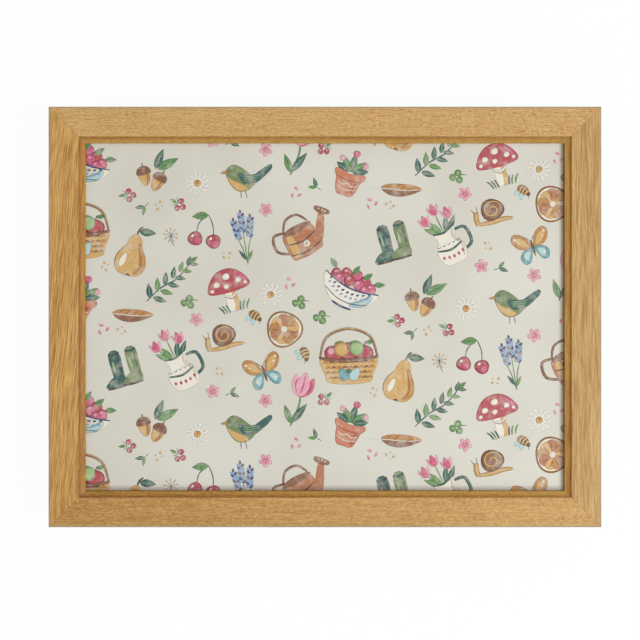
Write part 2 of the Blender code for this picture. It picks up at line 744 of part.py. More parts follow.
def build_lap_tray():
    cushion = empty("cushion_frame", (0, 0, 0))
    tray = empty("tray_frame", (0, 0, RAIL_BASE_Z))
    _, _, axis_y = slider_levels()
    start = Vector((slider_travel() / 2, axis_y, ZIP_Z))
    slider = empty("slider_frame", start)
    pull = empty("pull_axis", start)

    add_rails(tray)
    add_nails(tray)
    add_board(tray)
    add_strips(tray, cushion)
    add_cover(cushion)
    add_piping(cushion)
    add_liner(cushion)
    add_zip_half("upper", 1, cushion)
    add_zip_half("lower", -1, cushion)
    add_zip_stops(cushion)
    add_slider(slider)
    add_pull(pull)


clear_scene()
PIECES = new_collection("lap_tray")
CUTTERS = new_collection("cutters")
build_lap_tray()
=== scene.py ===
# %% [markdown]
# # Dressing a lap tray
#
# A lap tray is a picture frame with a printed board in it, standing on a cushion that is
# filled with polystyrene beads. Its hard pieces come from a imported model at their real
# size, and they stay where the model puts them. This lesson gives them their finishes,
# draws a print for the board, sews the cushion, and lights it all as a catalogue would.

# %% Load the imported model
import json
import math
import random

import bmesh
import bpy
from mathutils import Matrix, Vector, noise
from mathutils.kdtree import KDTree

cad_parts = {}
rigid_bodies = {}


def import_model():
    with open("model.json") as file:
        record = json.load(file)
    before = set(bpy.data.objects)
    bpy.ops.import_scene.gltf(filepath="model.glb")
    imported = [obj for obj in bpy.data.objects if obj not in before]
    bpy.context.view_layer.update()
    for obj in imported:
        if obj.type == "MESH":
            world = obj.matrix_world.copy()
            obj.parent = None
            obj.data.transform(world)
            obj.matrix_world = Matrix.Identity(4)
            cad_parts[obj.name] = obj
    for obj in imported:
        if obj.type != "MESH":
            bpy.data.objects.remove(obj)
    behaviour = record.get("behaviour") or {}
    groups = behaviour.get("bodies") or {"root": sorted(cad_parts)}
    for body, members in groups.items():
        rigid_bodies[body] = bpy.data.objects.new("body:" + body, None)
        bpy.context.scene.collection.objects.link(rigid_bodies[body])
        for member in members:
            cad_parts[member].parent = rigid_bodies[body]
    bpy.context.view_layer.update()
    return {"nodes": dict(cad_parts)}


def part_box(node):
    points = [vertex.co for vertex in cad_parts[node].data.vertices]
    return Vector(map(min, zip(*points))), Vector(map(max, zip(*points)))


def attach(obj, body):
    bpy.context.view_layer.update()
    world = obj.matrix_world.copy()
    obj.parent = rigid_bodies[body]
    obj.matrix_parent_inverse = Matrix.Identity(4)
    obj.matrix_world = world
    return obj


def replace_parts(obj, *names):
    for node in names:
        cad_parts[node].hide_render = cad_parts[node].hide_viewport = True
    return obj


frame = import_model()
NODES = frame["nodes"]
MM = 0.001
TRAY_HALF_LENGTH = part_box("rail_front")[1].x
TRAY_HALF_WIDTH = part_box("rail_left")[1].y
RAIL_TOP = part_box("rail_front")[1].z
RAIL_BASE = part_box("rail_front")[0].z

# %% [markdown]
# ## A shorthand for node trees
#
# Materials and Geometry Nodes trees are both nodes joined by links. Made one by one in
# Python they take many lines, so two small classes help. A Board makes nodes in a tree.
# A Wire is one node's output, and arithmetic on it adds Math nodes, so that a pattern can
# be written as a sum. Board.node sets a node's settings before its sockets, because some
# settings change which sockets there are.

# %% Wires and boards
class Wire:
    """One output of a node, which can be used in sums."""

    def __init__(self, board, socket):
        self.board = board
        self.socket = socket

    def math(self, operation, *others):
        """A Math node with this wire as its first term."""
        return self.board.math(operation, self, *others)

    def __add__(self, other):
        return self.math("ADD", other)

    def __radd__(self, other):
        return self.board.math("ADD", other, self)

    def __sub__(self, other):
        return self.math("SUBTRACT", other)

    def __rsub__(self, other):
        return self.board.math("SUBTRACT", other, self)

    def __mul__(self, other):
        return self.math("MULTIPLY", other)

    def __rmul__(self, other):
        return self.board.math("MULTIPLY", other, self)

    def __truediv__(self, other):
        return self.math("DIVIDE", other)

    def __rtruediv__(self, other):
        return self.board.math("DIVIDE", other, self)

    def __abs__(self):
        return self.math("ABSOLUTE")


class Board:
    """A node tree that is being built."""

    def __init__(self, tree):
        self.tree = tree

    def node(self, kind, settings=None, values=None, output=0):
        made = self.tree.nodes.new(kind)
        for name, value in (settings or {}).items():
            if name == "stops":
                self.set_stops(made.color_ramp, value)
            else:
                setattr(made, name, value)
        for key, value in (values or {}).items():
            if isinstance(value, Wire):
                self.tree.links.new(value.socket, made.inputs[key])
            else:
                made.inputs[key].default_value = value
        return Wire(self, made.outputs[output])

    @staticmethod
    def set_stops(ramp, stops):
        for element, (position, level) in zip(ramp.elements, stops):
            element.position = position
            element.color = (level, level, level, 1)

    def math(self, operation, *terms):
        return self.node("ShaderNodeMath", {"operation": operation}, dict(enumerate(terms)))

    def vector(self, x, y, z):
        return self.node("ShaderNodeCombineXYZ", None, {"X": x, "Y": y, "Z": z})

    def parts(self, vector):
        """The x, y and z of a vector."""
        found = self.node("ShaderNodeSeparateXYZ", None, {0: vector}).socket.node
        return [Wire(self, socket) for socket in found.outputs]

    def step(self, value, start, end):
        """0 below start, 1 above end and a smooth rise between them."""
        settings = {"interpolation_type": "SMOOTHSTEP"}
        values = {"Value": value, "From Min": start, "From Max": end}
        return self.node("ShaderNodeMapRange", settings, values)

    def ridges(self, value):
        """Round ridges one unit apart, from 0 to 1."""
        return abs((value * math.pi).math("SINE"))

    def noise(self, vector, detail=2.0, roughness=0.5, distortion=0.0):
        """Noise from 0 to 1 with one feature per unit of its vector."""
        values = {"Vector": vector, "Scale": 1.0, "Detail": detail, "Roughness": roughness}
        values["Distortion"] = distortion
        return self.node("ShaderNodeTexNoise", None, values)

    def ramp(self, value, low, high):
        """0 below low and 1 above high, straight between them."""
        return self.node("ShaderNodeValToRGB", {"stops": ((low, 0), (high, 1))}, {0: value})

    def mix(self, factor, first, second, blend="MIX"):
        """First colour at factor 0, second at 1."""
        settings = {"data_type": "RGBA", "blend_type": blend}
        values = {0: factor}
        for index, colour in ((6, first), (7, second)):
            values[index] = colour if isinstance(colour, Wire) else (*colour, 1)
        return self.node("ShaderNodeMix", settings, values, 2)


class Finish(Board):
    """A material on one Principled shader, with x, y and z in metres to draw patterns on."""

    def __init__(self, name, roughness=0.5, **fixed):
        self.material = bpy.data.materials.new(name)
        self.material.use_nodes = True
        super().__init__(self.material.node_tree)
        self.shader = self.tree.nodes["Principled BSDF"]
        self.x, self.y, self.z = self.parts(self.node("ShaderNodeTexCoord", None, None, "Object"))
        self.set("Roughness", roughness)
        for name, value in fixed.items():
            self.set(name.replace("_", " ").title().replace("Ior", "IOR"), value)

    def set(self, name, value):
        if isinstance(value, Wire):
            self.tree.links.new(value.socket, self.shader.inputs[name])
        else:
            self.shader.inputs[name].default_value = value

    def mottle(self, size, detail=2.0, roughness=0.5, distortion=0.0):
        """Noise whose features have one size in metres, or one each along x, y and z."""
        x, y, z = size if isinstance(size, tuple) else (size, size, size)
        place = self.vector(self.x / x, self.y / y, self.z / z)
        return self.noise(place, detail, roughness, distortion)

    def tint(self, factor, first, second):
        """Paint the first colour of the paint chart where factor is 0, the second at 1."""
        self.set("Base Color", self.mix(factor, srgb(*first), srgb(*second)))

    def bump(self, height, distance, strength=1.0):
        values = {"Height": height, "Distance": distance, "Strength": strength}
        self.set("Normal", self.node("ShaderNodeBump", None, values, "Normal"))

    def attribute(self, name, output="Color"):
        return self.node("ShaderNodeAttribute", {"attribute_name": name}, None, output)


def srgb(red, green, blue):
    """A colour as a paint chart gives it, 0 to 255, in the linear values of a shader."""
    shares = [value / 255 for value in (red, green, blue)]
    return tuple(s / 12.92 if s <= 0.04045 else ((s + 0.055) / 1.055) ** 2.4 for s in shares)


def dress(piece, finish):
    """Give a piece one material."""
    piece.data.materials.clear()
    piece.data.materials.append(finish.material)


def new_object(name, mesh):
    made = bpy.data.objects.new(name, mesh)
    bpy.context.scene.collection.objects.link(made)
    return made


def mesh_of(name, bm):
    """Turn a bmesh into a smooth-shaded mesh."""
    mesh = bpy.data.meshes.new(name)
    bm.to_mesh(mesh)
    bm.free()
    mesh.shade_smooth()
    return mesh


# %% [markdown]
# ## The camera
#
# The tray was photographed from straight above with a long lens, so that its sides hardly
# show. The camera's height follows from the lens and from the scale of the picture: the
# frame's two ends lie at known pixels, and the frame's length is known.

# %% Camera
PHOTO_WIDTH_PX = 640
FRAME_LEFT_PX, FRAME_RIGHT_PX = 48.7, 601.2
FRAME_TOP_PX, FRAME_BOTTOM_PX = 106.8, 527.1
LENS = 135.0

metres_per_px = 2 * TRAY_HALF_LENGTH / (FRAME_RIGHT_PX - FRAME_LEFT_PX)
camera = bpy.data.cameras.new("camera")
camera.lens = LENS
camera.clip_end = 20.0
camera_object = new_object("camera", camera)
camera_object.location = (
    (PHOTO_WIDTH_PX - FRAME_LEFT_PX - FRAME_RIGHT_PX) / 2 * metres_per_px,
    (FRAME_TOP_PX + FRAME_BOTTOM_PX - PHOTO_WIDTH_PX) / 2 * metres_per_px,
    RAIL_TOP + PHOTO_WIDTH_PX * metres_per_px * LENS / camera.sensor_width,
)
bpy.context.scene.camera = camera_object
print("camera:", tuple(round(v, 4) for v in camera_object.location))

# %% [markdown]
# ## The oak rails
#
# The rails are mouldings wrapped in an oak-effect foil. Oak has long fibres, broad bands
# of early and late wood, short mottles, dark pores and, where it is cut on the quarter,
# rays that cross the grain at a slant. Each of these is a noise that is stretched by its
# own length and width. No two lengths of moulding look alike: the left rail is the most
# golden and streaky, the right one the palest. Part of the paleness of the right and the
# back rail, and the paling along the left and the front rail, is a painted sheen of the
# lamp at the right. So one class makes the material, and each rail gives its own
# direction, tones and strengths.
#
# Inside the flat, a narrow bead steps down to the board. It is darker, partly as its own
# foil and partly as painted shade, which also evens out the lamp between the rails.
# Painted shade darkens it most in the corner under the step and, on the right and the
# front rail, at the lip's edge. A painted sheen makes the outer arris a dull beige line.

# %% Oak foil
RAIL_FLAT_WIDTH = 23.4 * MM
BEAD_WIDTH = 5.2 * MM
LIP_WIDTH = RAIL_FLAT_WIDTH + BEAD_WIDTH
# Painted shade for the corner under the bead's step and for the lip's edge, and a painted sheen for
# the outer arris.
CORNER_SHADE_TINT = (0.70, 0.60, 0.42)
LIP_SHADE_TINT = (0.42, 0.34, 0.26)
ARRIS_SHEEN_COLOUR = srgb(160, 154, 132)
ARRIS_SHEEN = 0.6

# Where one zone of a rail passes into the next: inwards from the tray's edge, and in height.
BEAD_START = (RAIL_FLAT_WIDTH - 0.3 * MM, RAIL_FLAT_WIDTH + 0.2 * MM)
CORNER_SHADE_END = (RAIL_FLAT_WIDTH, RAIL_FLAT_WIDTH + 3.2 * MM)
LIP_SHADE_START = (LIP_WIDTH - 1.0 * MM, LIP_WIDTH - 0.5 * MM)
ARRIS_SHEEN_END = (0.2 * MM, 2.0 * MM)
TOP_START = (RAIL_TOP - 1.6 * MM, RAIL_TOP - 0.6 * MM)

# How far the grain wanders sideways, and the length and width of one bend of it.
GRAIN_WANDER = 6 * MM
WANDER_LENGTH, WANDER_WIDTH = 60 * MM, 90 * MM

# Length and width of what makes the grain, in millimetres.
BANDS, FIBRES, MOTTLES, PORES = (160, 4.2), (20, 0.78), (2.5, 0.95), (4.5, 0.7)
RAYS = (15, 2.4)
GRAIN_DEPTH = 0.05 * MM


class Oak(Finish):
    """Foil with oak grain along X, or along Y on a side rail.

    streak, mottle and pore say how strong these parts of the grain are, and slant how far
    it leans. How much paler the rail gets along its length is a painted sheen of the lamp
    at the right. The bead's tint is partly the foil's own darker colour and partly painted
    shade, and the edge shade paints shade onto the lip's edge.
    """

    def __init__(self, name, on_side, pale, deep, streak, mottle, pore, seed, bead_tint,
                 edge_shade=0.0, slant=0.0, fade=0.0, rays=None):
        super().__init__(name, specular_ior_level=0.3)
        self.bead_tint, self.edge_shade = bead_tint, edge_shade
        along, across = (self.y, self.x) if on_side else (self.x, self.y)
        half = TRAY_HALF_LENGTH if on_side else TRAY_HALF_WIDTH
        self.inset = half - abs(across)
        wander = self.noise(self.vector(along / WANDER_LENGTH, seed, across / WANDER_WIDTH), 1.0)
        self.on_top = self.step(self.z, *TOP_START)
        self.along = along
        self.across = across + along * slant + (wander - 0.5) * GRAIN_WANDER
        self.seed = seed
        bands = self.grain(BANDS, 2.0)
        fibres = self.grain(FIBRES, 1.6)
        mottles = self.grain(MOTTLES, 2.0, 0.3)
        pores = self.ramp(self.grain(PORES, 1.0), 0.58, 0.76)
        tone = 0.5 + (bands - 0.5) * (streak * 0.45) + (fibres - 0.5) * (streak * 1.5)
        tone = tone + (mottles - 0.5) * mottle + along * (fade / TRAY_HALF_LENGTH)
        tone = tone - pores * pore
        if rays:
            tone = tone - self.ray_lines(*rays)
        colour = self.mix(self.step(tone, 0.0, 1.0), deep, pale)
        self.set("Base Color", self.worn(colour))
        self.set("Roughness", 0.38 + fibres * 0.16)
        self.bump(fibres * 0.4 + mottles * 0.3 - pores, GRAIN_DEPTH, 0.6)

    def grain(self, size, detail, distortion=0.0):
        """Noise with features of some length along the grain and some width across it."""
        length, width = (side * MM for side in size)
        place = self.vector(self.along / length, self.across / width, self.z / width + self.seed)
        return self.noise(place, detail, 0.55, distortion)

    def ray_lines(self, start, end, degrees, strength):
        """Dark slanting lines across the grain, which come in between two places along it."""
        turn = math.radians(degrees)
        length, width = (side * MM for side in RAYS)
        down = self.along * math.cos(turn) + self.across * math.sin(turn)
        over = self.across * math.cos(turn) - self.along * math.sin(turn)
        lines = self.noise(self.vector(down / length, over / width, self.seed), 2.0, 0.5, 0.8)
        present = self.step(self.along, start, end) * self.on_top
        return self.ramp(lines, 0.55, 0.74) * present * strength

    def worn(self, colour):
        """Darken the bead, as its own darker foil and as painted shade, paint shade into the corner
        of its step and onto the lip's edge, and paint a sheen onto the arris.
        """
        bead = self.step(self.inset, *BEAD_START)
        # Painted shade in the corner under the step.
        corner = bead * (1 - self.step(self.inset, *CORNER_SHADE_END))
        # Painted shade on the lip's edge, on the right and the front rail.
        edge = self.step(self.inset, *LIP_SHADE_START)
        # A painted sheen along the outer arris.
        arris_sheen = (1 - self.step(self.inset, *ARRIS_SHEEN_END)) * self.on_top
        # The bead's tint: partly its own darker foil, partly painted shade that evens out the lamp
        # between the rails.
        colour = self.mix(bead, colour, self.bead_tint, "MULTIPLY")
        colour = self.mix(corner, colour, CORNER_SHADE_TINT, "MULTIPLY")
        colour = self.mix(edge * self.edge_shade, colour, LIP_SHADE_TINT, "MULTIPLY")
        return self.mix(arris_sheen * ARRIS_SHEEN, colour, ARRIS_SHEEN_COLOUR)


# The paler tones of the right and the back rail, and the paling along the left and the front rail,
# are partly a painted sheen of the lamp at the right.
OAKS = {
    "rail_left": Oak(
        "oak_left", True, srgb(222, 178, 104), srgb(156, 104, 42), 1.2, 0.3, 0.12, 3.1,
        bead_tint=(0.81, 0.70, 0.37), slant=-0.09, fade=0.07,
    ),
    "rail_right": Oak(
        "oak_right", True, srgb(220, 180, 118), srgb(160, 115, 58), 1.0, 0.3, 0.12, 7.7,
        bead_tint=(0.92, 0.83, 0.52), edge_shade=0.35,
    ),
    "rail_back": Oak(
        "oak_back", False, srgb(233, 193, 131), srgb(170, 122, 58), 0.4, 1.0, 0.3, 11.3,
        bead_tint=(0.77, 0.72, 0.41), rays=(0.04, 0.12, -62, 0.17),
    ),
    "rail_front": Oak(
        "oak_front", False, srgb(220, 178, 111), srgb(157, 108, 47), 0.4, 1.0, 0.26, 17.9,
        bead_tint=(0.86, 0.80, 0.54), edge_shade=0.65, fade=0.14, rays=(0.0, 0.09, -74, 0.17),
    ),
}
for name, oak in OAKS.items():
    dress(NODES[name], oak)
print("oak rails:", len(OAKS))

# %% [markdown]
# ## The printed board
#
# The print is a laminated sheet: a warm grey ground with small watercolours tossed over it.
# The ground hardly varies, only as a wash of one colour does. At the right and the front,
# where the lip keeps the lamp out, ground and pictures darken towards it.

# %% Laminate ground
PRINT_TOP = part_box("print_sheet")[1].z
PRINT_HALF_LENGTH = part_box("print_sheet")[1].x
PRINT_HALF_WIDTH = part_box("print_sheet")[1].y

SHADE_START, SHADE_END = 4.8 * MM, 0.4 * MM
SHADE_TINT = (0.22, 0.14, 0.07)
RIGHT_SHADE, FRONT_SHADE = 0.95, 0.5


def lip_shaded(finish, colour):
    """Darken a colour beside the lip of the right and the front rail."""
    beside_right = finish.x - (TRAY_HALF_LENGTH - LIP_WIDTH)
    beside_front = 0 - finish.y - (TRAY_HALF_WIDTH - LIP_WIDTH)
    for past, strength in ((beside_right, RIGHT_SHADE), (beside_front, FRONT_SHADE)):
        shade = finish.step(past, -SHADE_START, -SHADE_END) * strength
        colour = finish.mix(shade, colour, SHADE_TINT, "MULTIPLY")
    return colour


ground = Finish("print_ground")
drift = ground.mottle(70 * MM)
tooth = ground.mottle(1.1 * MM, 1.0)
wash_colour = ground.mix(ground.step(drift, 0.3, 0.7), srgb(211, 208, 194), srgb(218, 215, 203))
wash_colour = ground.mix(tooth * 0.06, wash_colour, srgb(190, 184, 168))
ground.set("Base Color", lip_shaded(ground, wash_colour))
ground.set("Roughness", 0.34 + drift * 0.06)
dress(NODES["print_sheet"], ground)

# %% [markdown]
# ## Drawing with washes
#
# Each small picture is a stack of flat shapes, as in gouache: a wash is a filled outline, a
# stroke is a line of a brush. They are drawn in millimetres round the middle of the
# picture. Every vertex carries two attributes, its ink and its pool. Pool is 0 on an edge
# and 1 inside, so that the material can let the colour gather along the edge as wet ink
# does. Each shape lies a hair above the one before it, which gives the order of painting.

# %% Palette
PINK = srgb(230, 160, 180)
DEEP_PINK = srgb(204, 92, 124)
ROSE = srgb(178, 70, 78)
TEAL = srgb(44, 92, 84)
LEAF = srgb(96, 142, 78)
PALE_LEAF = srgb(160, 188, 128)
GOLD = srgb(210, 168, 100)
OCHRE = srgb(186, 130, 68)
COPPER = srgb(180, 116, 78)
BROWN = srgb(138, 92, 66)
DARK_BROWN = srgb(88, 56, 46)
AQUA = srgb(176, 212, 210)
DEEP_AQUA = srgb(96, 156, 164)
INDIGO = srgb(62, 72, 118)
SKY = srgb(132, 168, 204)
CREAM = srgb(238, 232, 216)
STRAW_SHADE = srgb(216, 206, 184)
TERRACOTTA = srgb(200, 124, 92)
DEEP_TERRACOTTA = srgb(178, 104, 76)
OLIVE = srgb(112, 130, 84)
CHARCOAL = srgb(62, 66, 68)

INK_LIFT = 0.02 * MM
INK_STEP = 0.005 * MM


# %% Curves and motifs
def curve_points(points, closed=False, steps=4):
    """Points on a smooth curve through the given ones."""
    points = [Vector(p) for p in points]
    count = len(points)
    found = []
    for i in range(count if closed else count - 1):
        if closed:
            a, b, c, d = (points[(i + k) % count] for k in (-1, 0, 1, 2))
        else:
            a, b, c, d = (points[min(max(i + k, 0), count - 1)] for k in (-1, 0, 1, 2))
        for step in range(steps):
            t = step / steps
            found.append(
                0.5 * (2 * b + (c - a) * t + (2 * a - 5 * b + 4 * c - d) * t**2
                       + (3 * b - a - 3 * c + d) * t**3)
            )
    return found if closed else found + [points[-1]]


def turned(point, degrees):
    """A point turned round the middle of its picture."""
    return Matrix.Rotation(math.radians(degrees), 2) @ Vector(point)


def mirrored(points):
    """A right half, listed upwards, with its left half added, as a closed outline."""
    return points + [(-x, y) for x, y in reversed(points) if x > 0]


DISCS_PER_SQUARE = 1.3
SLICE_OVERLAP = 0.02


class Motif:
    """A small picture, painted in layers round its middle. Lengths are in millimetres."""

    def __init__(self, name):
        self.name = name
        self.bm = bmesh.new()
        self.ink = self.bm.verts.layers.float_color.new("ink")
        self.pool = self.bm.verts.layers.float.new("pool")
        self.layers = 0

    def vertex(self, at, ink, pool):
        made = self.bm.verts.new((at[0] * MM, at[1] * MM, self.layers * INK_STEP))
        made[self.ink] = (*ink, 1)
        made[self.pool] = pool
        return made

    def wash(self, outline, ink, rim=0.9):
        """Fill an outline that bulges round its middle."""
        self.layers += 1
        centre = sum(outline, Vector((0, 0))) / len(outline)
        outer, inner = [], []
        for point in outline:
            away = point - centre
            near = centre + away * max(1 - rim / away.length, 0.25)
            outer.append(self.vertex(point, ink, 0))
            inner.append(self.vertex(near, ink, 1))
        middle = self.vertex(centre, ink, 1)
        for i in range(len(outline)):
            self.bm.faces.new((outer[i - 1], outer[i], inner[i], inner[i - 1]))
            self.bm.faces.new((inner[i - 1], inner[i], middle))

    def shape(self, points, ink, steps=4, rim=0.9):
        """A wash with a smooth outline through a few points."""
        self.wash(curve_points(points, True, steps), ink, rim)

    def dab(self, x, y, across, along, ink, degrees=0.0, corners=12, rim=None):
        """An oval touch of the brush."""
        angles = [2 * math.pi * i / corners for i in range(corners)]
        wobble = [1 + 0.05 * math.sin(3 * a + x + y) for a in angles]
        oval = [(across * w * math.cos(a), along * w * math.sin(a)) for a, w in zip(angles, wobble)]
        outline = [Vector((x, y)) + turned(p, degrees) for p in oval]
        self.wash(outline, ink, rim or min(across, along) * 0.4)

    def flower(self, count, reach, across, along, ink, corners):
        """Dabs in a ring round the middle."""
        for i in range(count):
            degrees = 360 // count * i
            self.dab(*turned((reach, 0), degrees), across, along, ink, degrees, corners)

    def stroke(self, points, width, ink, tip=0.25, steps=4, edge=0):
        """A line of the brush that swells from its tips on; with edge 1 it is a soft shade."""
        self.layers += 1
        line = curve_points(points, False, steps)
        rows = []
        for i, point in enumerate(line):
            before, after = line[max(i - 1, 0)], line[min(i + 1, len(line) - 1)]
            side = Vector((before.y - after.y, after.x - before.x)).normalized()
            swell = tip + (1 - tip) * math.sin(math.pi * i / (len(line) - 1)) ** 0.6
            side *= width / 2 * swell
            rows.append([
                self.vertex(point - side, ink, edge), self.vertex(point, ink, 1),
                self.vertex(point + side, ink, edge),
            ])
        for low, high in zip(rows, rows[1:]):
            self.bm.faces.new((low[0], high[0], high[1], low[1]))
            self.bm.faces.new((low[1], high[1], high[2], low[2]))

    def leaf(self, x, y, length, width, degrees, ink, vein=None):
        """A pointed leaf from its stalk's end at x, y."""
        rise = [i / 8 for i in range(9)]
        side = [(length * t, width / 2 * math.sin(math.pi * t**0.8)) for t in rise]
        outline = side + [(px, -py) for px, py in side[-2:0:-1]]
        start = Vector((x, y))
        self.wash([start + turned(p, degrees) for p in outline], ink, width * 0.16)
        if vein:
            spine = [start + turned((length * t, 0), degrees) for t in (0.05, 0.5, 0.9)]
            self.stroke(spine, 0.6, vein, steps=2)

    def discs(self):
        """A few circles that cover the picture: their middles and radii, in metres."""
        spots = [vertex.co.xy for vertex in self.bm.verts]
        low = Vector([min(spot[axis] for spot in spots) for axis in (0, 1)])
        sides = Vector([max(spot[axis] for spot in spots) for axis in (0, 1)]) - low
        long = 0 if sides.x > sides.y else 1
        count = max(round(DISCS_PER_SQUARE * sides[long] / sides[1 - long]), 1)
        found = []
        for i in range(count):
            ends = (i - SLICE_OVERLAP, i + 1 + SLICE_OVERLAP)
            start, end = (low[long] + sides[long] * share / count for share in ends)
            near = [spot for spot in spots if start <= spot[long] <= end]
            middle = sum(near, Vector((0, 0))) / len(near)
            for axis in (0, 1):
                values = [spot[axis] for spot in near]
                middle[axis] = (min(values) + max(values)) / 2
            found.append((middle, max((spot - middle).length for spot in near)))
        return found

    def finished(self):
        for face in self.bm.faces:
            face.normal_update()
            if face.normal.z < 0:
                face.normal_flip()
        return new_object(self.name, mesh_of(self.name, self.bm))


# %% [markdown]
# ## The pictures
#
# A kitchen garden gives the subjects: things of wicker, tin and earthenware as the large
# pictures, fruit, flowers and a few visitors as the middle ones, and bees, blossoms and
# seeds to fill the gaps. Each is a short function, so that any of them can be changed.

# %% Large pictures
def apple_basket(m):
    for x in (-13, 0, 13):
        m.dab(x, 7 + 2 * (x == 0), 8.5, 8, ROSE, corners=16)
        m.dab(x - 2.5, 9.5, 3.2, 3, PINK, 30)
        m.stroke([(x + 1, 13), (x + 1.5, 16), (x + 3, 18)], 1.1, DARK_BROWN)
        m.leaf(x + 2, 16, 8, 4, 10, LEAF, TEAL)
    m.dab(-6.5, 11, 6.5, 6.5, GOLD, corners=16)
    m.dab(7, 11.5, 6.5, 6.5, PALE_LEAF, corners=16)
    wicker = [(-25, 4), (-21, -12), (-18, -18), (0, -20), (18, -18), (21, -12), (25, 4), (0, 1)]
    m.shape(wicker, GOLD, 3)
    for row, y in enumerate((-1, -5.5, -10, -14.5)):
        for i in range(-4, 5):
            x = i * (5.1 - 0.3 * row) + 1.2 * (row % 2)
            ink = BROWN if i % 2 else OCHRE
            m.stroke([(x - 2.2, y), (x, y + 1.3), (x + 2.2, y)], 1.7, ink, steps=2)
    m.stroke([(-26, 4), (-12, 1.5), (0, 0.8), (12, 1.5), (26, 4)], 3.4, BROWN, 0.6)
    m.stroke([(-25, 5), (-19, 22), (0, 29), (19, 22), (25, 5)], 2.4, BROWN, 0.6)
    m.stroke([(-25, 5.5), (-19, 22.5), (0, 29.6), (19, 22.5), (25, 5.5)], 0.8, GOLD)
    m.shape([(-7, -16), (-9, -6), (-2, -8), (0, -15)], DEEP_AQUA, 3)
    m.shape([(7, -16), (9, -6), (2, -8), (0, -15)], AQUA, 3)
    m.dab(0, -8, 2.2, 2, TEAL)


def flower_jug(m):
    m.stroke([(10, 4), (19, 2), (19, -12), (9, -16)], 3.0, TEAL, 0.7)
    for x, y, lean in ((-11, 20, 105), (0, 25, 88), (10, 19, 68)):
        m.stroke([(x * 0.3, 4), (x * 0.7, 12), (x, y)], 1.1, LEAF)
    for x, degrees in ((-4, 135), (5, 45), (-2, 112), (2, 66)):
        m.leaf(x, 5, 15, 5, degrees, LEAF if x < 0 else TEAL, PALE_LEAF)
    for x, y in ((-11, 20), (0, 26), (10, 19)):
        bud = [(-5, 5), (-4, -2), (0, -4), (4, -2), (5, 5), (0, 2)]
        m.shape([(x + px, y + py) for px, py in bud], PINK, 3)
        m.shape([(x, y + 7), (x - 3, y), (x, y - 4), (x + 3, y)], DEEP_PINK, 3)
        m.stroke([(x - 3.5, y + 3), (x - 2.5, y - 1)], 0.8, ROSE, steps=3)
    left = [(-9, 7), (-8, -1), (-13, -10), (-10, -22), (0, -24)]
    right = [(10, -22), (13, -10), (8, -1), (10, 8), (0, 5)]
    m.shape(left + right, CREAM, 4)
    m.stroke([(8.4, 6), (6.3, -1), (11, -10.5), (8.4, -20.6)], 2.8, STRAW_SHADE, 0.3, edge=1)
    m.stroke([(-11.5, -8), (0, -11), (11.5, -8)], 2.0, TEAL, 0.6)
    for x in (-9, -4.5, 0, 4.5, 9):
        m.dab(x, -15.5 - 0.02 * (81 - x * x), 1.2, 1.6, ROSE)
        m.stroke([(x - 1.6, -4.5), (x, -6.2), (x + 1.6, -4.5)], 0.7, TEAL, steps=2)
    m.stroke([(-9.5, 7), (0, 5), (10.5, 8.2)], 1.8, TEAL, 0.5)


def watering_can(m):
    m.stroke([(-9, 9), (-21, 11), (-24, -2), (-13, -10)], 2.6, BROWN, 0.7)
    m.shape([(10, -13), (12, -4), (25, 13), (29, 11), (18, -9)], COPPER, 3)
    m.shape([(22, 16), (25, 10), (31, 6), (33, 9), (25, 18)], BROWN, 3)
    for x, y in ((26, 14.5), (28, 12.2), (30, 9.8)):
        m.dab(x, y, 0.7, 0.7, CREAM, corners=8)
    can = [(-14, 8), (-15, -14), (-8, -17), (0, -18), (8, -17), (15, -14), (13, 8), (0, 5.5)]
    m.shape(can, COPPER, 4)
    m.shape([(-12, 5), (-13, -12), (-7, -14.5), (-6, 4)], GOLD, 3)
    m.dab(0, 8, 13.5, 3.2, BROWN, corners=18)
    m.stroke([(-12, 10), (-5, 19), (6, 19), (12, 10)], 2.2, BROWN, 0.7)
    m.stroke([(-14, -1), (0, -4), (13.5, -1)], 1.3, DARK_BROWN, 0.5)
    m.stroke([(-14.5, -11), (0, -14), (14.5, -11)], 1.3, DARK_BROWN, 0.5)
    for i in range(5):
        m.dab(2, -7.5, 1.4, 3.2, CREAM, 72 * i)
    m.dab(2, -7.5, 1.3, 1.3, GOLD)


def berry_bowl(m):
    for x, y in ((-16, 5), (-8, 9), (1, 11), (10, 9), (17, 5), (-12, 2), (-3, 4), (6, 4), (13, 1)):
        m.dab(x, y, 5, 5, ROSE if (x + y) % 2 else DEEP_PINK, corners=14)
        m.dab(x - 1.4, y + 1.6, 1.5, 1.2, PINK, 30)
        m.dab(x + 1.2, y - 1.4, 0.5, 0.5, GOLD, corners=6)
    for x, degrees in ((-18, 150), (-2, 80), (18, 25), (8, 60)):
        m.leaf(x, 10, 10, 5, degrees, LEAF, TEAL)
    m.shape([(-25, 3), (-20, -10), (-9, -18), (9, -18), (20, -10), (25, 3), (0, -2)], CREAM, 4)
    m.stroke([(21, 0), (16, -9), (6, -15.8)], 6.4, AQUA, 0.3)
    m.stroke([(-25.5, 3.5), (-12, -0.5), (0, -1.8), (12, -0.5), (25.5, 3.5)], 1.6, INDIGO, 0.6)
    m.stroke([(-20, -9), (-9, -13.5), (0, -14.5), (9, -13.5), (20, -9)], 1.0, INDIGO, 0.6)
    for i in range(-4, 5):
        x = i * 4.6
        y = -8 + 0.018 * x * x
        m.leaf(x - 1.3, y + 0.9, 3.4, 2.0, 40, INDIGO)
        m.leaf(x + 1.3, y - 0.9, 3.4, 2.0, 220, SKY)
    m.stroke([(-9, -18.4), (0, -19.4), (9, -18.4)], 2.0, INDIGO, 0.6)


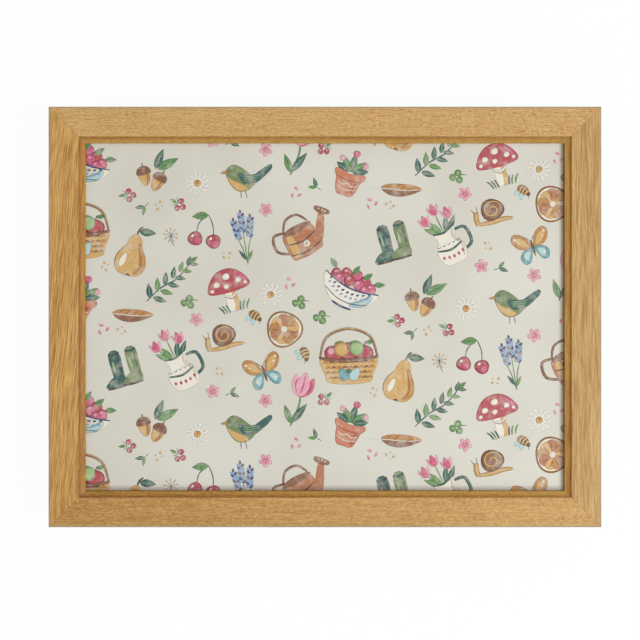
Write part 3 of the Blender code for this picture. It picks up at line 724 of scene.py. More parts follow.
# %% Fruit, flowers and leaves
def pear(m):
    m.stroke([(0, 16), (0.6, 21), (3.4, 25)], 1.7, DARK_BROWN, 0.5)
    m.leaf(1, 20, 15, 7, 8, TEAL, PALE_LEAF)
    half = [(0, -20), (9, -18.5), (14, -11), (12.5, -2), (7.5, 6), (5.5, 13), (0, 17.5)]
    m.shape(mirrored(half), GOLD)
    m.stroke([(5, -17.4), (10.6, -11), (8.8, -1), (4, 10)], 5.2, OCHRE, 0.2, edge=1)
    m.shape([(-8, -14), (-4.5, -9), (-5, -1), (-8.5, -4), (-10, -10)], CREAM, 3)
    for x, y in ((0, -9), (3, -3), (-2, -16), (5, -13), (1, 3), (8, -8), (-1, 9), (3, 8)):
        m.dab(x, y, 0.5, 0.5, BROWN, corners=6)
    m.stroke([(-1.5, -20), (0, -18.6), (1.8, -20.2)], 1.4, DARK_BROWN)
    m.stroke([(-12.6, -14), (-13.8, -8), (-12.3, -1.6), (-8, 5)], 0.6, CHARCOAL)


def toadstool(m):
    m.shape([(-4, 2), (-5.5, -15), (-3, -19), (4, -19), (6, -15), (4, 2)], CREAM, 3)
    m.shape([(1, 2), (1.5, -12), (0, -19), (4, -18.6), (5.6, -15), (3.8, 2)], GOLD, 3)
    m.stroke([(-6.6, -3), (0, -6.6), (6.6, -3)], 2.6, CREAM, 0.5)
    m.stroke([(-6, -4.6), (0, -8), (6, -4.6)], 0.6, BROWN)
    m.shape([(-19, 1), (-15, 11), (-6, 18), (6, 18), (15, 11), (19, 1), (9, -2), (-9, -2)], ROSE)
    m.stroke([(8, 15), (13.6, 8), (15, 1.6)], 5.2, DEEP_PINK, 0.3, edge=1)
    for x, y, size in (
        (-10, 7, 2.6), (0, 12, 3.0), (9.5, 6.5, 2.4), (-2, 3.5, 2.2), (-15, 2.5, 1.6), (15, 3, 1.5),
    ):
        m.dab(x, y, size * 1.15, size, CREAM, 15)
    for x in (-12, -9, -6, 6, 9, 13):
        m.stroke([(x * 0.8, -20), (x * 0.9, -16), (x * 1.15, -12)], 1.5, LEAF if x % 2 else TEAL)


def citrus(m):
    m.dab(0, 0, 16, 16, OCHRE, corners=28)
    m.dab(0, 0, 14.4, 14.4, CREAM, corners=28, rim=0.6)
    for i in range(9):
        segment = [(2.2, 0), (7, -3.9), (12, -4.1), (13.4, 0), (12, 4.1), (7, 3.9)]
        m.shape([turned(p, 40 * i) for p in segment], (COPPER, GOLD, OCHRE)[i % 3], 2, 0.7)
        vein = [turned(p, 40 * i) for p in ((5.5, 0.6), (8, 0.9), (11, 0.5))]
        m.stroke(vein, 0.8, BROWN, steps=2)
    m.dab(0, 0, 1.5, 1.5, CREAM)


def tulip(m):
    m.stroke([(0, 4), (1.5, -8), (-1, -26)], 1.8, LEAF, 0.6)
    m.leaf(-1, -23, 22, 6.5, 66, TEAL, PALE_LEAF)
    m.leaf(-1, -24, 18, 6, 124, LEAF, TEAL)
    m.shape([(-8, 20), (-10, 10), (-6, 3), (0, 1), (-1, 10)], PINK, 3)
    m.shape([(8, 20), (10, 10), (6, 3), (0, 1), (1, 10)], DEEP_PINK, 3)
    m.shape([(0, 23), (-6, 12), (-4, 4), (0, 1), (4, 4), (6, 12)], PINK, 4)
    m.stroke([(0, 20), (0.5, 12), (0, 4)], 1.5, DEEP_PINK)
    for x in (-6, 6.5):
        m.stroke([(x, 16), (x * 1.1, 10), (x * 0.6, 4)], 1.0, ROSE)


def sprig(m):
    m.stroke([(-24, -10), (-8, -3), (8, 0), (25, 10)], 1.3, TEAL, 0.5)
    for i in range(6):
        x = -20 + 8 * i
        y = -9 + 3.4 * i
        ink = (TEAL, LEAF, TEAL)[i % 3]
        m.leaf(x, y, 14 - i, 5.6 - 0.4 * i, 78 - 6 * i, ink, PALE_LEAF)
        m.leaf(x + 2.5, y + 0.6, 13 - i, 5.2 - 0.4 * i, -38 + 3 * i, ink, PALE_LEAF)
    m.leaf(23, 9, 9, 4, 22, LEAF, TEAL)


def lavender(m):
    for lean, height in ((-7, 17), (0, 23), (8, 18)):
        m.stroke([(0, -22), (lean * 0.4, -6), (lean, height - 12)], 0.9, LEAF)
        for i in range(7):
            y = height - 2.4 * i
            x = lean - lean * 0.06 * i
            m.dab(x - 1.6, y, 1.9, 1.2, INDIGO if i % 2 else SKY, 140, 9)
            m.dab(x + 1.6, y - 0.7, 1.9, 1.2, SKY if i % 3 else INDIGO, 40, 9)
        m.dab(lean, height + 2.2, 1.1, 1.8, INDIGO, 0, 9)
    m.leaf(0, -18, 12, 3, 122, TEAL)
    m.leaf(0, -19, 11, 3, 58, LEAF)


def cherries(m):
    m.stroke([(-7, -3), (-5, 7), (3, 14)], 1.0, TEAL, 0.6)
    m.stroke([(8, -5), (7, 5), (3, 14)], 1.0, TEAL, 0.6)
    m.leaf(3, 14, 15, 7, 188, LEAF, TEAL)
    for x, y in ((-8, -7), (8, -9)):
        m.dab(x, y, 6.6, 6.3, ROSE, corners=18)
        m.dab(x + 1.8, y - 1.6, 3.6, 3.4, DEEP_PINK)
        m.dab(x - 2.4, y + 2.4, 1.5, 1.1, CREAM, 40)


def acorns(m):
    m.leaf(2, 0, 21, 8, 38, LEAF, TEAL)
    m.leaf(0, 0, 19, 7, 78, TEAL, PALE_LEAF)
    for x, y, degrees in ((-9, -6, 24), (5, -9, -18)):
        def placed(*points):
            return [Vector((x, y)) + turned(p, degrees) for p in points]

        m.shape(placed((-5, 1), (-4, -7), (0, -11), (4, -7), (5, 1)), GOLD, 3)
        m.stroke(placed((3, 1), (2.8, -5.5), (0.8, -9.6)), 2.6, OCHRE, 0.4)
        m.shape(placed((-6.4, 0), (-5, 5), (0, 7), (5, 5), (6.4, 0), (0, -1.2)), BROWN, 3)
        for row, wide in ((1.2, 4.6), (3.4, 3.4)):
            for spot in placed(*((i * wide / 2, row) for i in range(-2, 3))):
                m.dab(*spot, 0.8, 0.6, DARK_BROWN, degrees, 6)
        m.stroke(placed((0, 6.4), (0.6, 9.5)), 1.1, DARK_BROWN, 0.6)


def daisy(m):
    m.flower(12, 6.6, 4.4, 1.6, CREAM, 10)
    for i in range(12):
        m.stroke([turned((d, 0.3), 30 * i) for d in (4.0, 9.0)], 0.5, SKY, steps=2)
    m.dab(0, 0, 3.1, 3.1, GOLD, corners=14)
    m.dab(0.7, -0.7, 1.7, 1.7, OCHRE)


# %% Visitors and pots
def songbird(m):
    m.stroke([(1, -9), (2, -16)], 0.8, DARK_BROWN, 0.6, 2)
    m.stroke([(-3, -9), (-3, -16)], 0.8, DARK_BROWN, 0.6, 2)
    m.shape([(8, 2), (24, 12), (25, 7), (10, -4)], TEAL, 3)
    m.shape([(-15, 8), (-9, 14), (-2, 12), (6, 5), (12, 0), (6, -8), (-4, -10), (-11, -4)], OLIVE)
    m.shape([(-14, 4), (-10, 1), (-2, -3), (4, -8), (-4, -9.6), (-10.6, -4)], GOLD, 3)
    m.shape([(-4, 6), (6, 4), (17, 5), (8, -3), (0, -3)], TEAL, 3)
    for y in (3.4, 1.4, -0.6):
        m.stroke([(0, y), (6, y - 0.6), (12 + y, y)], 0.7, PALE_LEAF)
    m.shape([(-14.6, 9.4), (-20, 7.6), (-14.4, 6.4)], OCHRE, 2, 0.4)
    m.dab(-11, 9.6, 1.1, 1.1, CHARCOAL, corners=10)
    m.dab(-11.3, 10, 0.35, 0.35, CREAM, corners=6)


def butterfly(m):
    for side in (1, -1):
        wing = [(1, 1), (5, 12), (13, 16), (17, 11), (13, 3), (6, 0)]
        m.shape([(side * x, y) for x, y in wing], OCHRE, 3)
        m.shape([(side * x, y) for x, y in ((3, 2), (6, 10), (12, 13), (14, 10), (10, 4))], GOLD, 3)
        lower = [(1, 0), (8, 0), (13, -5), (11, -12), (5, -11)]
        m.shape([(side * x, y) for x, y in lower], DEEP_AQUA, 3)
        m.shape([(side * x, y) for x, y in ((3, -2), (8, -2), (10.5, -6), (7, -10))], AQUA, 3)
        for x, y, size in ((13.5, 11.5, 1.2), (11, 8, 0.9), (8.4, -6, 1.3)):
            m.dab(side * x, y, size, size, CREAM, corners=9)
        m.stroke([(0, 5), (side * 2.4, 9), (side * 5, 11)], 0.5, CHARCOAL)
    m.dab(0, 0, 1.2, 7.5, DARK_BROWN)


def bee(m):
    m.dab(-1.5, 4, 2.2, 4.2, AQUA, 25)
    m.dab(3, 3.8, 2.0, 3.8, AQUA, -18)
    m.dab(0, -0.6, 6.2, 3.9, GOLD, corners=16)
    for x in (-2.6, 0.4, 3.2):
        m.stroke([(x, 2.8), (x + 0.8, -0.6), (x, -4)], 1.4, DARK_BROWN, 0.4)
    m.dab(-5.8, 0, 1.7, 1.9, DARK_BROWN)
    m.stroke([(-6.6, 1.4), (-8.4, 3.6)], 0.5, CHARCOAL, steps=2)


def snail(m):
    m.stroke([(-15, -8.5), (-4, -9.6), (8, -9.2), (17, -10.6)], 4.6, GOLD, 0.3)
    m.stroke([(-14, -9.5), (-14.6, -4), (-13.2, 2.4)], 4.8, GOLD, 0.75)
    m.stroke([(-14.6, 0), (-17, 6)], 0.7, BROWN, 0.6, 2)
    m.stroke([(-12.4, 1), (-11.6, 7)], 0.7, BROWN, 0.6, 2)
    m.dab(1, 1, 10.5, 9.6, BROWN, corners=20)
    turns = [(9 - 0.55 * i, math.radians(40 * i)) for i in range(15)]
    spiral = [(1 + r * math.cos(a), 1 + 0.92 * r * math.sin(a)) for r, a in turns]
    m.stroke(spiral, 1.7, GOLD, 0.4, 2)


def seedling_pot(m):
    for x, degrees in ((0, 92), (-1, 128), (1, 54), (-2, 158), (2, 24)):
        ink = LEAF if x % 2 else TEAL
        m.leaf(x, 2, 18 - abs(degrees - 90) * 0.06, 6.6, degrees, ink, PALE_LEAF)
    m.dab(0, 19, 3.2, 3.2, DEEP_PINK)
    m.dab(-11, 12, 2.6, 2.6, PINK)
    m.dab(11, 11, 2.6, 2.6, PINK)
    m.shape([(-11, 1), (-8, -17), (0, -19), (8, -17), (11, 1), (0, -1)], TERRACOTTA, 3)
    m.stroke([(9, -2), (7.4, -9), (6, -16.6)], 3.4, DEEP_TERRACOTTA, 0.5, edge=1)
    m.shape([(-13, 3), (-12.4, -3), (0, -5), (12.4, -3), (13, 3), (0, 0.6)], TERRACOTTA, 3)
    m.stroke([(-12, -3.6), (0, -5.6), (12, -3.6)], 0.9, DEEP_TERRACOTTA, 0.5)
    m.stroke([(-9, -8), (-4, -10), (0, -8), (4, -10), (9, -8)], 1.0, CREAM, 0.6)
    m.stroke([(-8.6, -12), (0, -14), (8.6, -12)], 0.8, CREAM, 0.6)


def feather(m):
    m.shape([(-15, -5), (-6, -9), (8, -6), (20, 3), (12, 5), (0, 3), (-10, 0)], OCHRE)
    m.shape([(-14, -5), (-4, -9), (8, -6), (19, 2.6), (4, -2)], BROWN, 3)
    m.stroke([(-24, -8), (-10, -4.4), (6, -1.4), (19, 3)], 0.9, CREAM, 0.5)
    for x in (-10, -4, 2, 8):
        m.stroke([(x, -4 + 0.16 * (x + 10)), (x + 4, 2.4 + 0.1 * x)], 0.5, DARK_BROWN, 0.4, 2)


def boots(m):
    for x, ink, shade in ((-8, TEAL, CHARCOAL), (7, OLIVE, TEAL)):
        leg = [(-5, 14), (-5.4, -6), (-6, -14), (4, -15), (4.4, -6), (4.6, 14)]
        m.shape([(x + px, y) for px, y in leg], ink, 3)
        m.shape([(x - 5.6, -7), (x - 12, -11), (x - 13, -15), (x + 3, -15.4), (x + 4, -8)], ink, 3)
        m.stroke([(x - 13, -16), (x - 4, -16.4), (x + 4, -16)], 1.8, DARK_BROWN, 0.6)
        m.stroke([(x - 5, 13), (x, 12.2), (x + 4.6, 13)], 2.2, shade, 0.6)
        m.stroke([(x + 2.6, 10), (x + 2.4, -4)], 1.2, shade, 0.4, 3)
        m.dab(x - 2.8, 2, 0.9, 5.4, PALE_LEAF, 0, 10)


# %% Small fillings
def blossom(m):
    m.flower(5, 3.3, 3.0, 2.2, PINK, 10)
    m.flower(5, 2.1, 1.3, 0.7, DEEP_PINK, 8)
    m.dab(0, 0, 1.1, 1.1, GOLD, corners=8)


def clover(m):
    m.stroke([(0, 0), (1, -5), (0, -9)], 0.9, LEAF)
    for degrees in (90, 210, 330):
        m.dab(*turned((3.6, 0), degrees), 3.0, 3.3, LEAF, degrees)
        m.dab(*turned((3.4, 0), degrees), 1.8, 0.8, PALE_LEAF, degrees, 8)


def berries(m):
    m.stroke([(-4, 4), (0, 1), (4, 5)], 0.7, TEAL)
    for x, y in ((-3.6, -1), (3.4, -0.4), (0, -4.6)):
        m.dab(x, y, 2.6, 2.6, ROSE, corners=12)
        m.dab(x - 0.8, y + 0.8, 0.7, 0.6, CREAM, corners=7)
    m.leaf(0, 2, 7, 3, 95, LEAF)


def leaf_pair(m):
    m.leaf(0, 0, 9, 3.6, 55, TEAL, PALE_LEAF)
    m.leaf(0, 0, 8, 3.2, 125, LEAF)
    m.stroke([(0, 0), (0.4, -5)], 0.8, TEAL, steps=2)


def seedhead(m):
    m.stroke([(0, 0), (-0.8, -5), (1, -11)], 0.6, CHARCOAL)
    for i in range(9):
        m.stroke([(0, 0), turned((5.4, 0), 40 * i)], 0.45, CHARCOAL, 0.5, 2)
        m.dab(*turned((5.8, 0), 40 * i), 0.9, 0.9, GOLD, corners=7)


def petals(m):
    for x, y, degrees in ((-3, 1, 40), (3, 3, 110), (1, -4, -20)):
        m.dab(x, y, 2.4, 1.3, PINK, degrees, 9)
        m.dab(x + 0.4, y - 0.3, 1.2, 0.6, DEEP_PINK, degrees, 7)


def gold_dots(m):
    for x, y, size in ((-3.5, 0, 1.3), (0, 2.4, 0.9), (3, -1, 1.2), (0.4, -3.4, 0.7)):
        m.dab(x, y, size, size, GOLD, corners=9)


# %% [markdown]
# ## Tossing the pictures over the sheet
#
# Textile designers call such a print a toss: nothing lines up, yet the gaps are even. Here
# each picture is covered by a few discs. The pictures start at random places in a tile,
# and their discs push each other apart until they fit. The tile then repeats over the
# sheet, every other column dropped by half a tile. The discs push across the tile's edges
# too, so that the repeat doesn't show.
#
# Every picture also gets a UV map in which its shapes lie side by side, so that its ink can
# be baked into a texture.

# %% Draw each picture once
TOSS = (
    (apple_basket, 1), (flower_jug, 1), (watering_can, 1), (berry_bowl, 1), (pear, 1),
    (toadstool, 1), (tulip, 1), (sprig, 1), (lavender, 1), (seedling_pot, 1), (songbird, 1),
    (feather, 1), (boots, 1), (citrus, 1), (butterfly, 1), (acorns, 1), (snail, 1),
    (cherries, 1), (daisy, 2), (bee, 2), (blossom, 4), (clover, 3), (berries, 3),
    (leaf_pair, 3), (seedhead, 1), (petals, 3), (gold_dots, 5),
)
pictures = bpy.data.collections.new("pictures")
covers = []
for number, (draw, _) in enumerate(TOSS):
    motif = Motif(f"picture_{number:02d}_{draw.__name__}")
    draw(motif)
    covers.append(motif.discs())
    drawn = motif.finished()
    bpy.context.scene.collection.objects.unlink(drawn)
    pictures.objects.link(drawn)
print("pictures:", len(covers), "discs:", sum(len(discs) for discs in covers))

# %% Map each picture's shapes
for picture in pictures.objects:
    picture.data.uv_layers.new(name="OFBake")
    bpy.context.scene.collection.objects.link(picture)
    picture.select_set(True)
bpy.context.view_layer.objects.active = pictures.objects[0]
bpy.ops.object.mode_set(mode="EDIT")
bpy.ops.mesh.select_all(action="SELECT")
bpy.ops.uv.smart_project(angle_limit=math.radians(66), island_margin=0.002, scale_to_bounds=True)
bpy.ops.object.mode_set(mode="OBJECT")
for picture in pictures.objects:
    bpy.context.scene.collection.objects.unlink(picture)

# %% Toss them over a tile
TILE_LENGTH, TILE_WIDTH = 212 * MM, 198 * MM
PICTURE_SIZE = 0.9
PICTURE_GAP = 1.2 * MM
TOSS_SEED = 34
TOSS_ROUNDS = 500
LEAN = math.radians(32)


def toss():
    """Picture number, place and turn of everything in one tile, and the discs that cover it."""
    chance = random.Random(TOSS_SEED)
    thrown, discs = [], []
    for number, (_, count) in enumerate(TOSS):
        for _ in range(count):
            turns = (-LEAN, LEAN) if count == 1 else (0, 2 * math.pi)
            turn = chance.uniform(*turns)
            for middle, radius in covers[number]:
                offset = Matrix.Rotation(turn, 2) @ middle * PICTURE_SIZE
                discs.append((len(thrown), offset, radius * PICTURE_SIZE + PICTURE_GAP))
            x, y = chance.uniform(0, TILE_LENGTH), chance.uniform(0, TILE_WIDTH)
            thrown.append([number, x, y, turn])
    pairs = [(a, b) for i, a in enumerate(discs) for b in discs[:i] if a[0] != b[0]]
    for _ in range(TOSS_ROUNDS):
        overlaps = [push_apart(thrown, a, b) for a, b in pairs]
    filled = sum(math.pi * radius**2 for _, _, radius in discs) / (TILE_LENGTH * TILE_WIDTH)
    print(f"tile filled {filled:.2f}, deepest overlap {max(overlaps) / MM:.1f} mm")
    return thrown


def push_apart(thrown, a, b):
    """Part two pictures whose discs overlap, also across the tile's edges; return by how much."""
    one, other = thrown[a[0]], thrown[b[0]]
    dx = other[1] + b[1].x - one[1] - a[1].x
    dy = other[2] + b[1].y - one[2] - a[1].y
    column = round(dx / TILE_LENGTH)
    dx -= column * TILE_LENGTH
    dy -= column / 2 * TILE_WIDTH
    dy -= round(dy / TILE_WIDTH) * TILE_WIDTH
    gap = math.hypot(dx, dy)
    overlap = a[2] + b[2] - gap
    if overlap > 0 and gap > 0:
        share = b[2] ** 2 / (a[2] ** 2 + b[2] ** 2)
        for item, part in ((one, -share / 2), (other, (1 - share) / 2)):
            item[1] += dx / gap * overlap * part
            item[2] += dy / gap * overlap * part
    return overlap


thrown = toss()
print("pictures in a tile:", len(thrown))

# %% [markdown]
# Geometry Nodes set the pictures down. The mesh that goes in has one vertex per place,
# with two attributes: which picture, and its turn. A collection holds the pictures,
# Instance on Points picks one for each vertex, and Realize Instances makes one mesh of
# them. A small helper runs any such tree and hands back a plain mesh.

# %% Running a Geometry Nodes tree
SOCKETS = {
    float: "NodeSocketFloat", bpy.types.Collection: "NodeSocketCollection",
    bpy.types.Object: "NodeSocketObject", bpy.types.Material: "NodeSocketMaterial",
}


def plain_mesh(name, source):
    """What an object's modifiers make of it, as a mesh."""
    view = bpy.context.evaluated_depsgraph_get()
    mesh = bpy.data.meshes.new_from_object(source.evaluated_get(view), depsgraph=view)
    mesh.name = name
    return mesh


class Tree(Board):
    """A Geometry Nodes tree with named inputs."""

    def __init__(self, name, **inputs):
        super().__init__(bpy.data.node_groups.new(name, "GeometryNodeTree"))
        sockets = self.tree.interface
        sockets.new_socket("Geometry", in_out="INPUT", socket_type="NodeSocketGeometry")
        sockets.new_socket("Geometry", in_out="OUTPUT", socket_type="NodeSocketGeometry")
        self.values = {name.replace("_", " ").title(): value for name, value in inputs.items()}
        for label, value in self.values.items():
            kind = next(SOCKETS[k] for k in SOCKETS if isinstance(value, k))
            sockets.new_socket(label, in_out="INPUT", socket_type=kind)
        self.inputs = self.tree.nodes.new("NodeGroupInput")

    def given(self, label):
        return Wire(self, self.inputs.outputs[label])

    def named(self, name, kind="FLOAT"):
        """An attribute of the geometry."""
        return self.node("GeometryNodeInputNamedAttribute", {"data_type": kind}, {"Name": name})

    def circle(self, corners, radius):
        values = {"Resolution": corners, "Radius": radius}
        return self.node("GeometryNodeCurvePrimitiveCircle", None, values)

    def sweep(self, line, section):
        values = {"Curve": line, "Profile Curve": section}
        return self.node("GeometryNodeCurveToMesh", None, values)

    def resized(self, shape, x, y, z):
        values = {"Geometry": shape, "Scale": self.vector(x, y, z)}
        return self.node("GeometryNodeTransform", None, values)

    def on_points(self, points, shape, turn, more=None):
        """A copy of a shape at every point."""
        values = {"Points": points, "Instance": shape, "Rotation": turn}
        return self.node("GeometryNodeInstanceOnPoints", None, values | (more or {}))

    def grow(self, name, start, result):
        """Run the tree on a mesh or curve and return what it makes as a plain mesh object."""
        whole = self.node("GeometryNodeRealizeInstances", None, {0: result})
        values = {0: whole, "Material": self.given("Finish")}
        done = self.node("GeometryNodeSetMaterial", None, values)
        end = self.tree.nodes.new("NodeGroupOutput")
        self.tree.links.new(done.socket, end.inputs[0])
        modifier = start.modifiers.new("grow", "NODES")
        modifier.node_group = self.tree
        for item in self.tree.interface.items_tree:
            if item.in_out == "INPUT" and item.name in self.values:
                modifier[item.identifier] = self.values[item.name]
        mesh = plain_mesh(name, start)
        bpy.data.objects.remove(start)
        return new_object(name, mesh)


# %% Set shapes down
def set_down(name, rows, stock, finish, size=1.0):
    """Lay shapes out: each row is a number in the stock, a place and a turn."""
    places = bpy.data.meshes.new(f"{name}_places")
    places.from_pydata([row[1] for row in rows], [], [])
    for label, kind, column in (("shape", "INT", 0), ("turn", "FLOAT", 2)):
        values = [row[column] for row in rows]
        places.attributes.new(label, kind, "POINT").data.foreach_set("value", values)
    tree = Tree("set_down", stock=stock, size=size, finish=finish.material)
    shapes = tree.node(
        "GeometryNodeCollectionInfo", None,
        {"Collection": tree.given("Stock"), "Separate Children": True, "Reset Children": True},
    )
    scale = tree.given("Size")
    down = tree.on_points(
        tree.given("Geometry"), shapes, tree.vector(0.0, 0.0, tree.named("turn")),
        {"Pick Instance": True, "Instance Index": tree.named("shape", "INT"),
         "Scale": tree.vector(scale, scale, scale)},
    )
    return tree.grow(name, new_object(f"{name}_places", places), down)


# %% [markdown]
# The ink takes its colour from the attribute of each wash. It dries paler in blooms, darker
# along the edges of a wash, and speckled by the tooth of the sheet. Once the pictures are
# laid out, what hangs over the sheet is trimmed off, and a Solidify modifier gives the ink a
# body that is thinner than a hair.

# %% Ink on the laminate
ink = Finish("print_ink", roughness=0.36)
bloom = ink.mottle(6 * MM)
grit = ink.mottle(0.9 * MM)
inner = ink.step(ink.attribute("pool", "Fac"), 0.0, 1.0)
hue = ink.attribute("ink")
hue = ink.mix(ink.step(bloom, 0.42, 0.72) * 0.34, hue, srgb(226, 220, 204))
hue = ink.mix(1 - inner, hue, (0.72, 0.72, 0.74), "MULTIPLY")
hue = ink.mix(ink.step(grit, 0.35, 0.75) * 0.22, hue, (0.7, 0.7, 0.7), "MULTIPLY")
ink.set("Base Color", lip_shaded(ink, hue))

# %% Lay the pictures out
MARGIN = 34 * MM
rows = []
for column in range(-2, 3):
    for row in range(-3, 3):
        for number, x, y, turn in thrown:
            at_x = x + column * TILE_LENGTH - TILE_LENGTH / 2
            at_y = y + (row + column / 2) * TILE_WIDTH
            if abs(at_x) < PRINT_HALF_LENGTH + MARGIN and abs(at_y) < PRINT_HALF_WIDTH + MARGIN:
                rows.append((number, (at_x, at_y, PRINT_TOP + INK_LIFT), turn))

print_ink = set_down("printed_pictures", rows, pictures, ink, PICTURE_SIZE)

# %% Trim what hangs over the sheet
SHEET_EDGES = (
    ((PRINT_HALF_LENGTH, 0, 0), (1, 0, 0)), ((-PRINT_HALF_LENGTH, 0, 0), (-1, 0, 0)),
    ((0, PRINT_HALF_WIDTH, 0), (0, 1, 0)), ((0, -PRINT_HALF_WIDTH, 0), (0, -1, 0)),
)
bm = bmesh.new()
bm.from_mesh(print_ink.data)
for point, outwards in SHEET_EDGES:
    whole = bm.verts[:] + bm.edges[:] + bm.faces[:]
    bmesh.ops.bisect_plane(bm, geom=whole, plane_co=point, plane_no=outwards, clear_outer=True)
bm.to_mesh(print_ink.data)
bm.free()
body = print_ink.modifiers.new("ink_body", "SOLIDIFY")
body.thickness = INK_STEP * 0.8
body.offset = -1
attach(print_ink, "tray")
print("pictures laid:", len(rows), "faces:", len(print_ink.data.polygons))

# %% [markdown]
# ## Closing the mitres
#
# The rails meet at 45 degrees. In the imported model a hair's breadth is left between them,
# because solids may not touch. On the real frame, glue and filler close it, so that only
# the change of grain shows. A thin plate of filler stands in each joint. It has the
# moulding's own section, a little sunk, and stays above the nails that cross the joint.

# %% Mitre filler
LIP_BASE = PRINT_TOP + 0.3 * MM
RAIL_BASE_WIDTH = 22.6 * MM
LIP_EDGE = LIP_BASE + 2.2 * MM
LIP_ROUND = 0.3 * MM
BEAD_HIGH = RAIL_TOP - 2.5 * MM
BEAD_SWELL_AT, BEAD_SWELL = 2.4 * MM, 0.2 * MM
STEP_ROUND = 0.4 * MM
ARRIS_ROUND = 1.2 * MM
NAIL_TOP = 59.2 * MM
NAIL_FREE = 3 * MM
FILLER_HALF = 0.13 * MM
FILLER_SINK = 0.03 * MM

# How far in from the tray's edge, and how high.
FILLER_SECTION = (
    (FILLER_SINK, RAIL_BASE), (NAIL_FREE, RAIL_BASE), (NAIL_FREE, NAIL_TOP),
    (RAIL_BASE_WIDTH, NAIL_TOP), (RAIL_BASE_WIDTH, LIP_BASE),
    (LIP_WIDTH - FILLER_SINK, LIP_BASE), (LIP_WIDTH - FILLER_SINK, LIP_EDGE - LIP_ROUND),
    (LIP_WIDTH - STEP_ROUND, LIP_EDGE - FILLER_SINK),
    (RAIL_FLAT_WIDTH + BEAD_SWELL_AT, (LIP_EDGE + BEAD_HIGH) / 2 + BEAD_SWELL),
    (RAIL_FLAT_WIDTH - FILLER_SINK, BEAD_HIGH - FILLER_SINK),
    (RAIL_FLAT_WIDTH - FILLER_SINK, RAIL_TOP - STEP_ROUND),
    (RAIL_FLAT_WIDTH - STEP_ROUND, RAIL_TOP - FILLER_SINK),
    (ARRIS_ROUND, RAIL_TOP - FILLER_SINK), (STEP_ROUND, RAIL_TOP - STEP_ROUND),
    (FILLER_SINK, RAIL_TOP - ARRIS_ROUND),
)


def mitre_filler(bm, side_x, side_y):
    """A plate across one corner's joint, closed all round."""
    thick = Vector((side_x, -side_y, 0)).normalized() * FILLER_HALF
    section = [
        Vector((side_x * (TRAY_HALF_LENGTH - inset), side_y * (TRAY_HALF_WIDTH - inset), z))
        for inset, z in FILLER_SECTION
    ]
    rings = []
    for way in (-1, 1):
        rings.append([bm.verts.new(point + thick * way) for point in section])
        bm.faces.new(rings[-1])
    for i in range(len(FILLER_SECTION)):
        bm.faces.new((rings[0][i - 1], rings[0][i], rings[1][i], rings[1][i - 1]))


bm = bmesh.new()
for side_x in (-1, 1):
    for side_y in (-1, 1):
        mitre_filler(bm, side_x, side_y)
bmesh.ops.recalc_face_normals(bm, faces=bm.faces)
filler = new_object("mitre_filler", mesh_of("mitre_filler", bm))
filler.data.shade_flat()
putty = Finish("wood_filler", roughness=0.5)
putty.tint(putty.mottle(2 * MM), (164, 118, 64), (190, 144, 88))
dress(filler, putty)
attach(filler, "tray")

# %% [markdown]
# ## The cushion's form
#
# The cushion is a bag of two panels. Seen from above its sides draw in between the
# corners, and seen from the side they are round, steeper above the seam than below. Its
# top bears flat against the board, and its base lies flat on the lap. A point of a square
# from -1 to 1 is taken to a point of a panel: the square's edge becomes the seam, rings
# inside it climb the round side, and its middle becomes the flat.

# %% Surface of the cover
CUSHION_HALF_LENGTH, CUSHION_HALF_WIDTH = 201 * MM, 149 * MM
CUSHION_HEIGHT = 55.1 * MM
CUSHION_CORNER = 30 * MM
SEAM_HEIGHT = 29 * MM
SIDE_DRAW_IN = 6 * MM
DRAW_IN_POWER = 5
FLATTENING = 0.5 * MM
FLAT_SHARE = 3 / 11
TOP_SIDE = (36 * MM, 2.2)
BASE_SIDE = (40 * MM, 3.0)


def draw_in(along, half):
    """How far a side is drawn in at a distance from its middle."""
    corner = half - CUSHION_CORNER * (1 - math.cos(math.pi / 4))
    return SIDE_DRAW_IN * (1 - (abs(along) / corner) ** DRAW_IN_POWER)


def seam_point(u, v, grow=0.0):
    """Where a point on the edge of the square lies on the cushion's outline."""
    radius = CUSHION_CORNER + grow
    halves = (CUSHION_HALF_LENGTH + grow, CUSHION_HALF_WIDTH + grow)
    across = abs(v) >= abs(u)
    share = abs(u) if across else abs(v)
    long_half, short_half = halves if across else halves[::-1]
    straight = long_half - radius
    run = share * (straight + radius * math.pi / 4)
    bend = max(run - straight, 0) / radius
    along = min(run, straight) + radius * math.sin(bend)
    out = short_half - radius * (1 - math.cos(bend))
    x, y = (along, out) if across else (out, along)
    draw_x = draw_in(y, halves[1]) * x / halves[0]
    draw_y = draw_in(x, halves[0]) * y / halves[1]
    return math.copysign(x - draw_x, u), math.copysign(y - draw_y, v)


def cover_point(u, v, upper):
    """Where a point of the square lies on the upper or lower panel."""
    ring = max(abs(u), abs(v))
    climb = min((1 - ring) / (1 - FLAT_SHARE), 1)
    depth, power = TOP_SIDE if upper else BASE_SIDE
    angle = climb ** (power / 2) * math.pi / 2
    inwards = 1 - max(math.cos(angle), 0) ** (2 / power)
    upwards = math.sin(angle) ** (2 / power)
    x, y = seam_point(u / ring, v / ring) if ring > 0 else (0, 0)
    shrink = min(ring / FLAT_SHARE, 1)
    x *= (1 - inwards * depth / CUSHION_HALF_LENGTH) * shrink
    y *= (1 - inwards * depth / CUSHION_HALF_WIDTH) * shrink
    if upper:
        rise = CUSHION_HEIGHT - SEAM_HEIGHT + FLATTENING
        return Vector((x, y, min(SEAM_HEIGHT + rise * upwards, CUSHION_HEIGHT)))
    return Vector((x, y, max(SEAM_HEIGHT - (SEAM_HEIGHT + FLATTENING) * upwards, 0)))


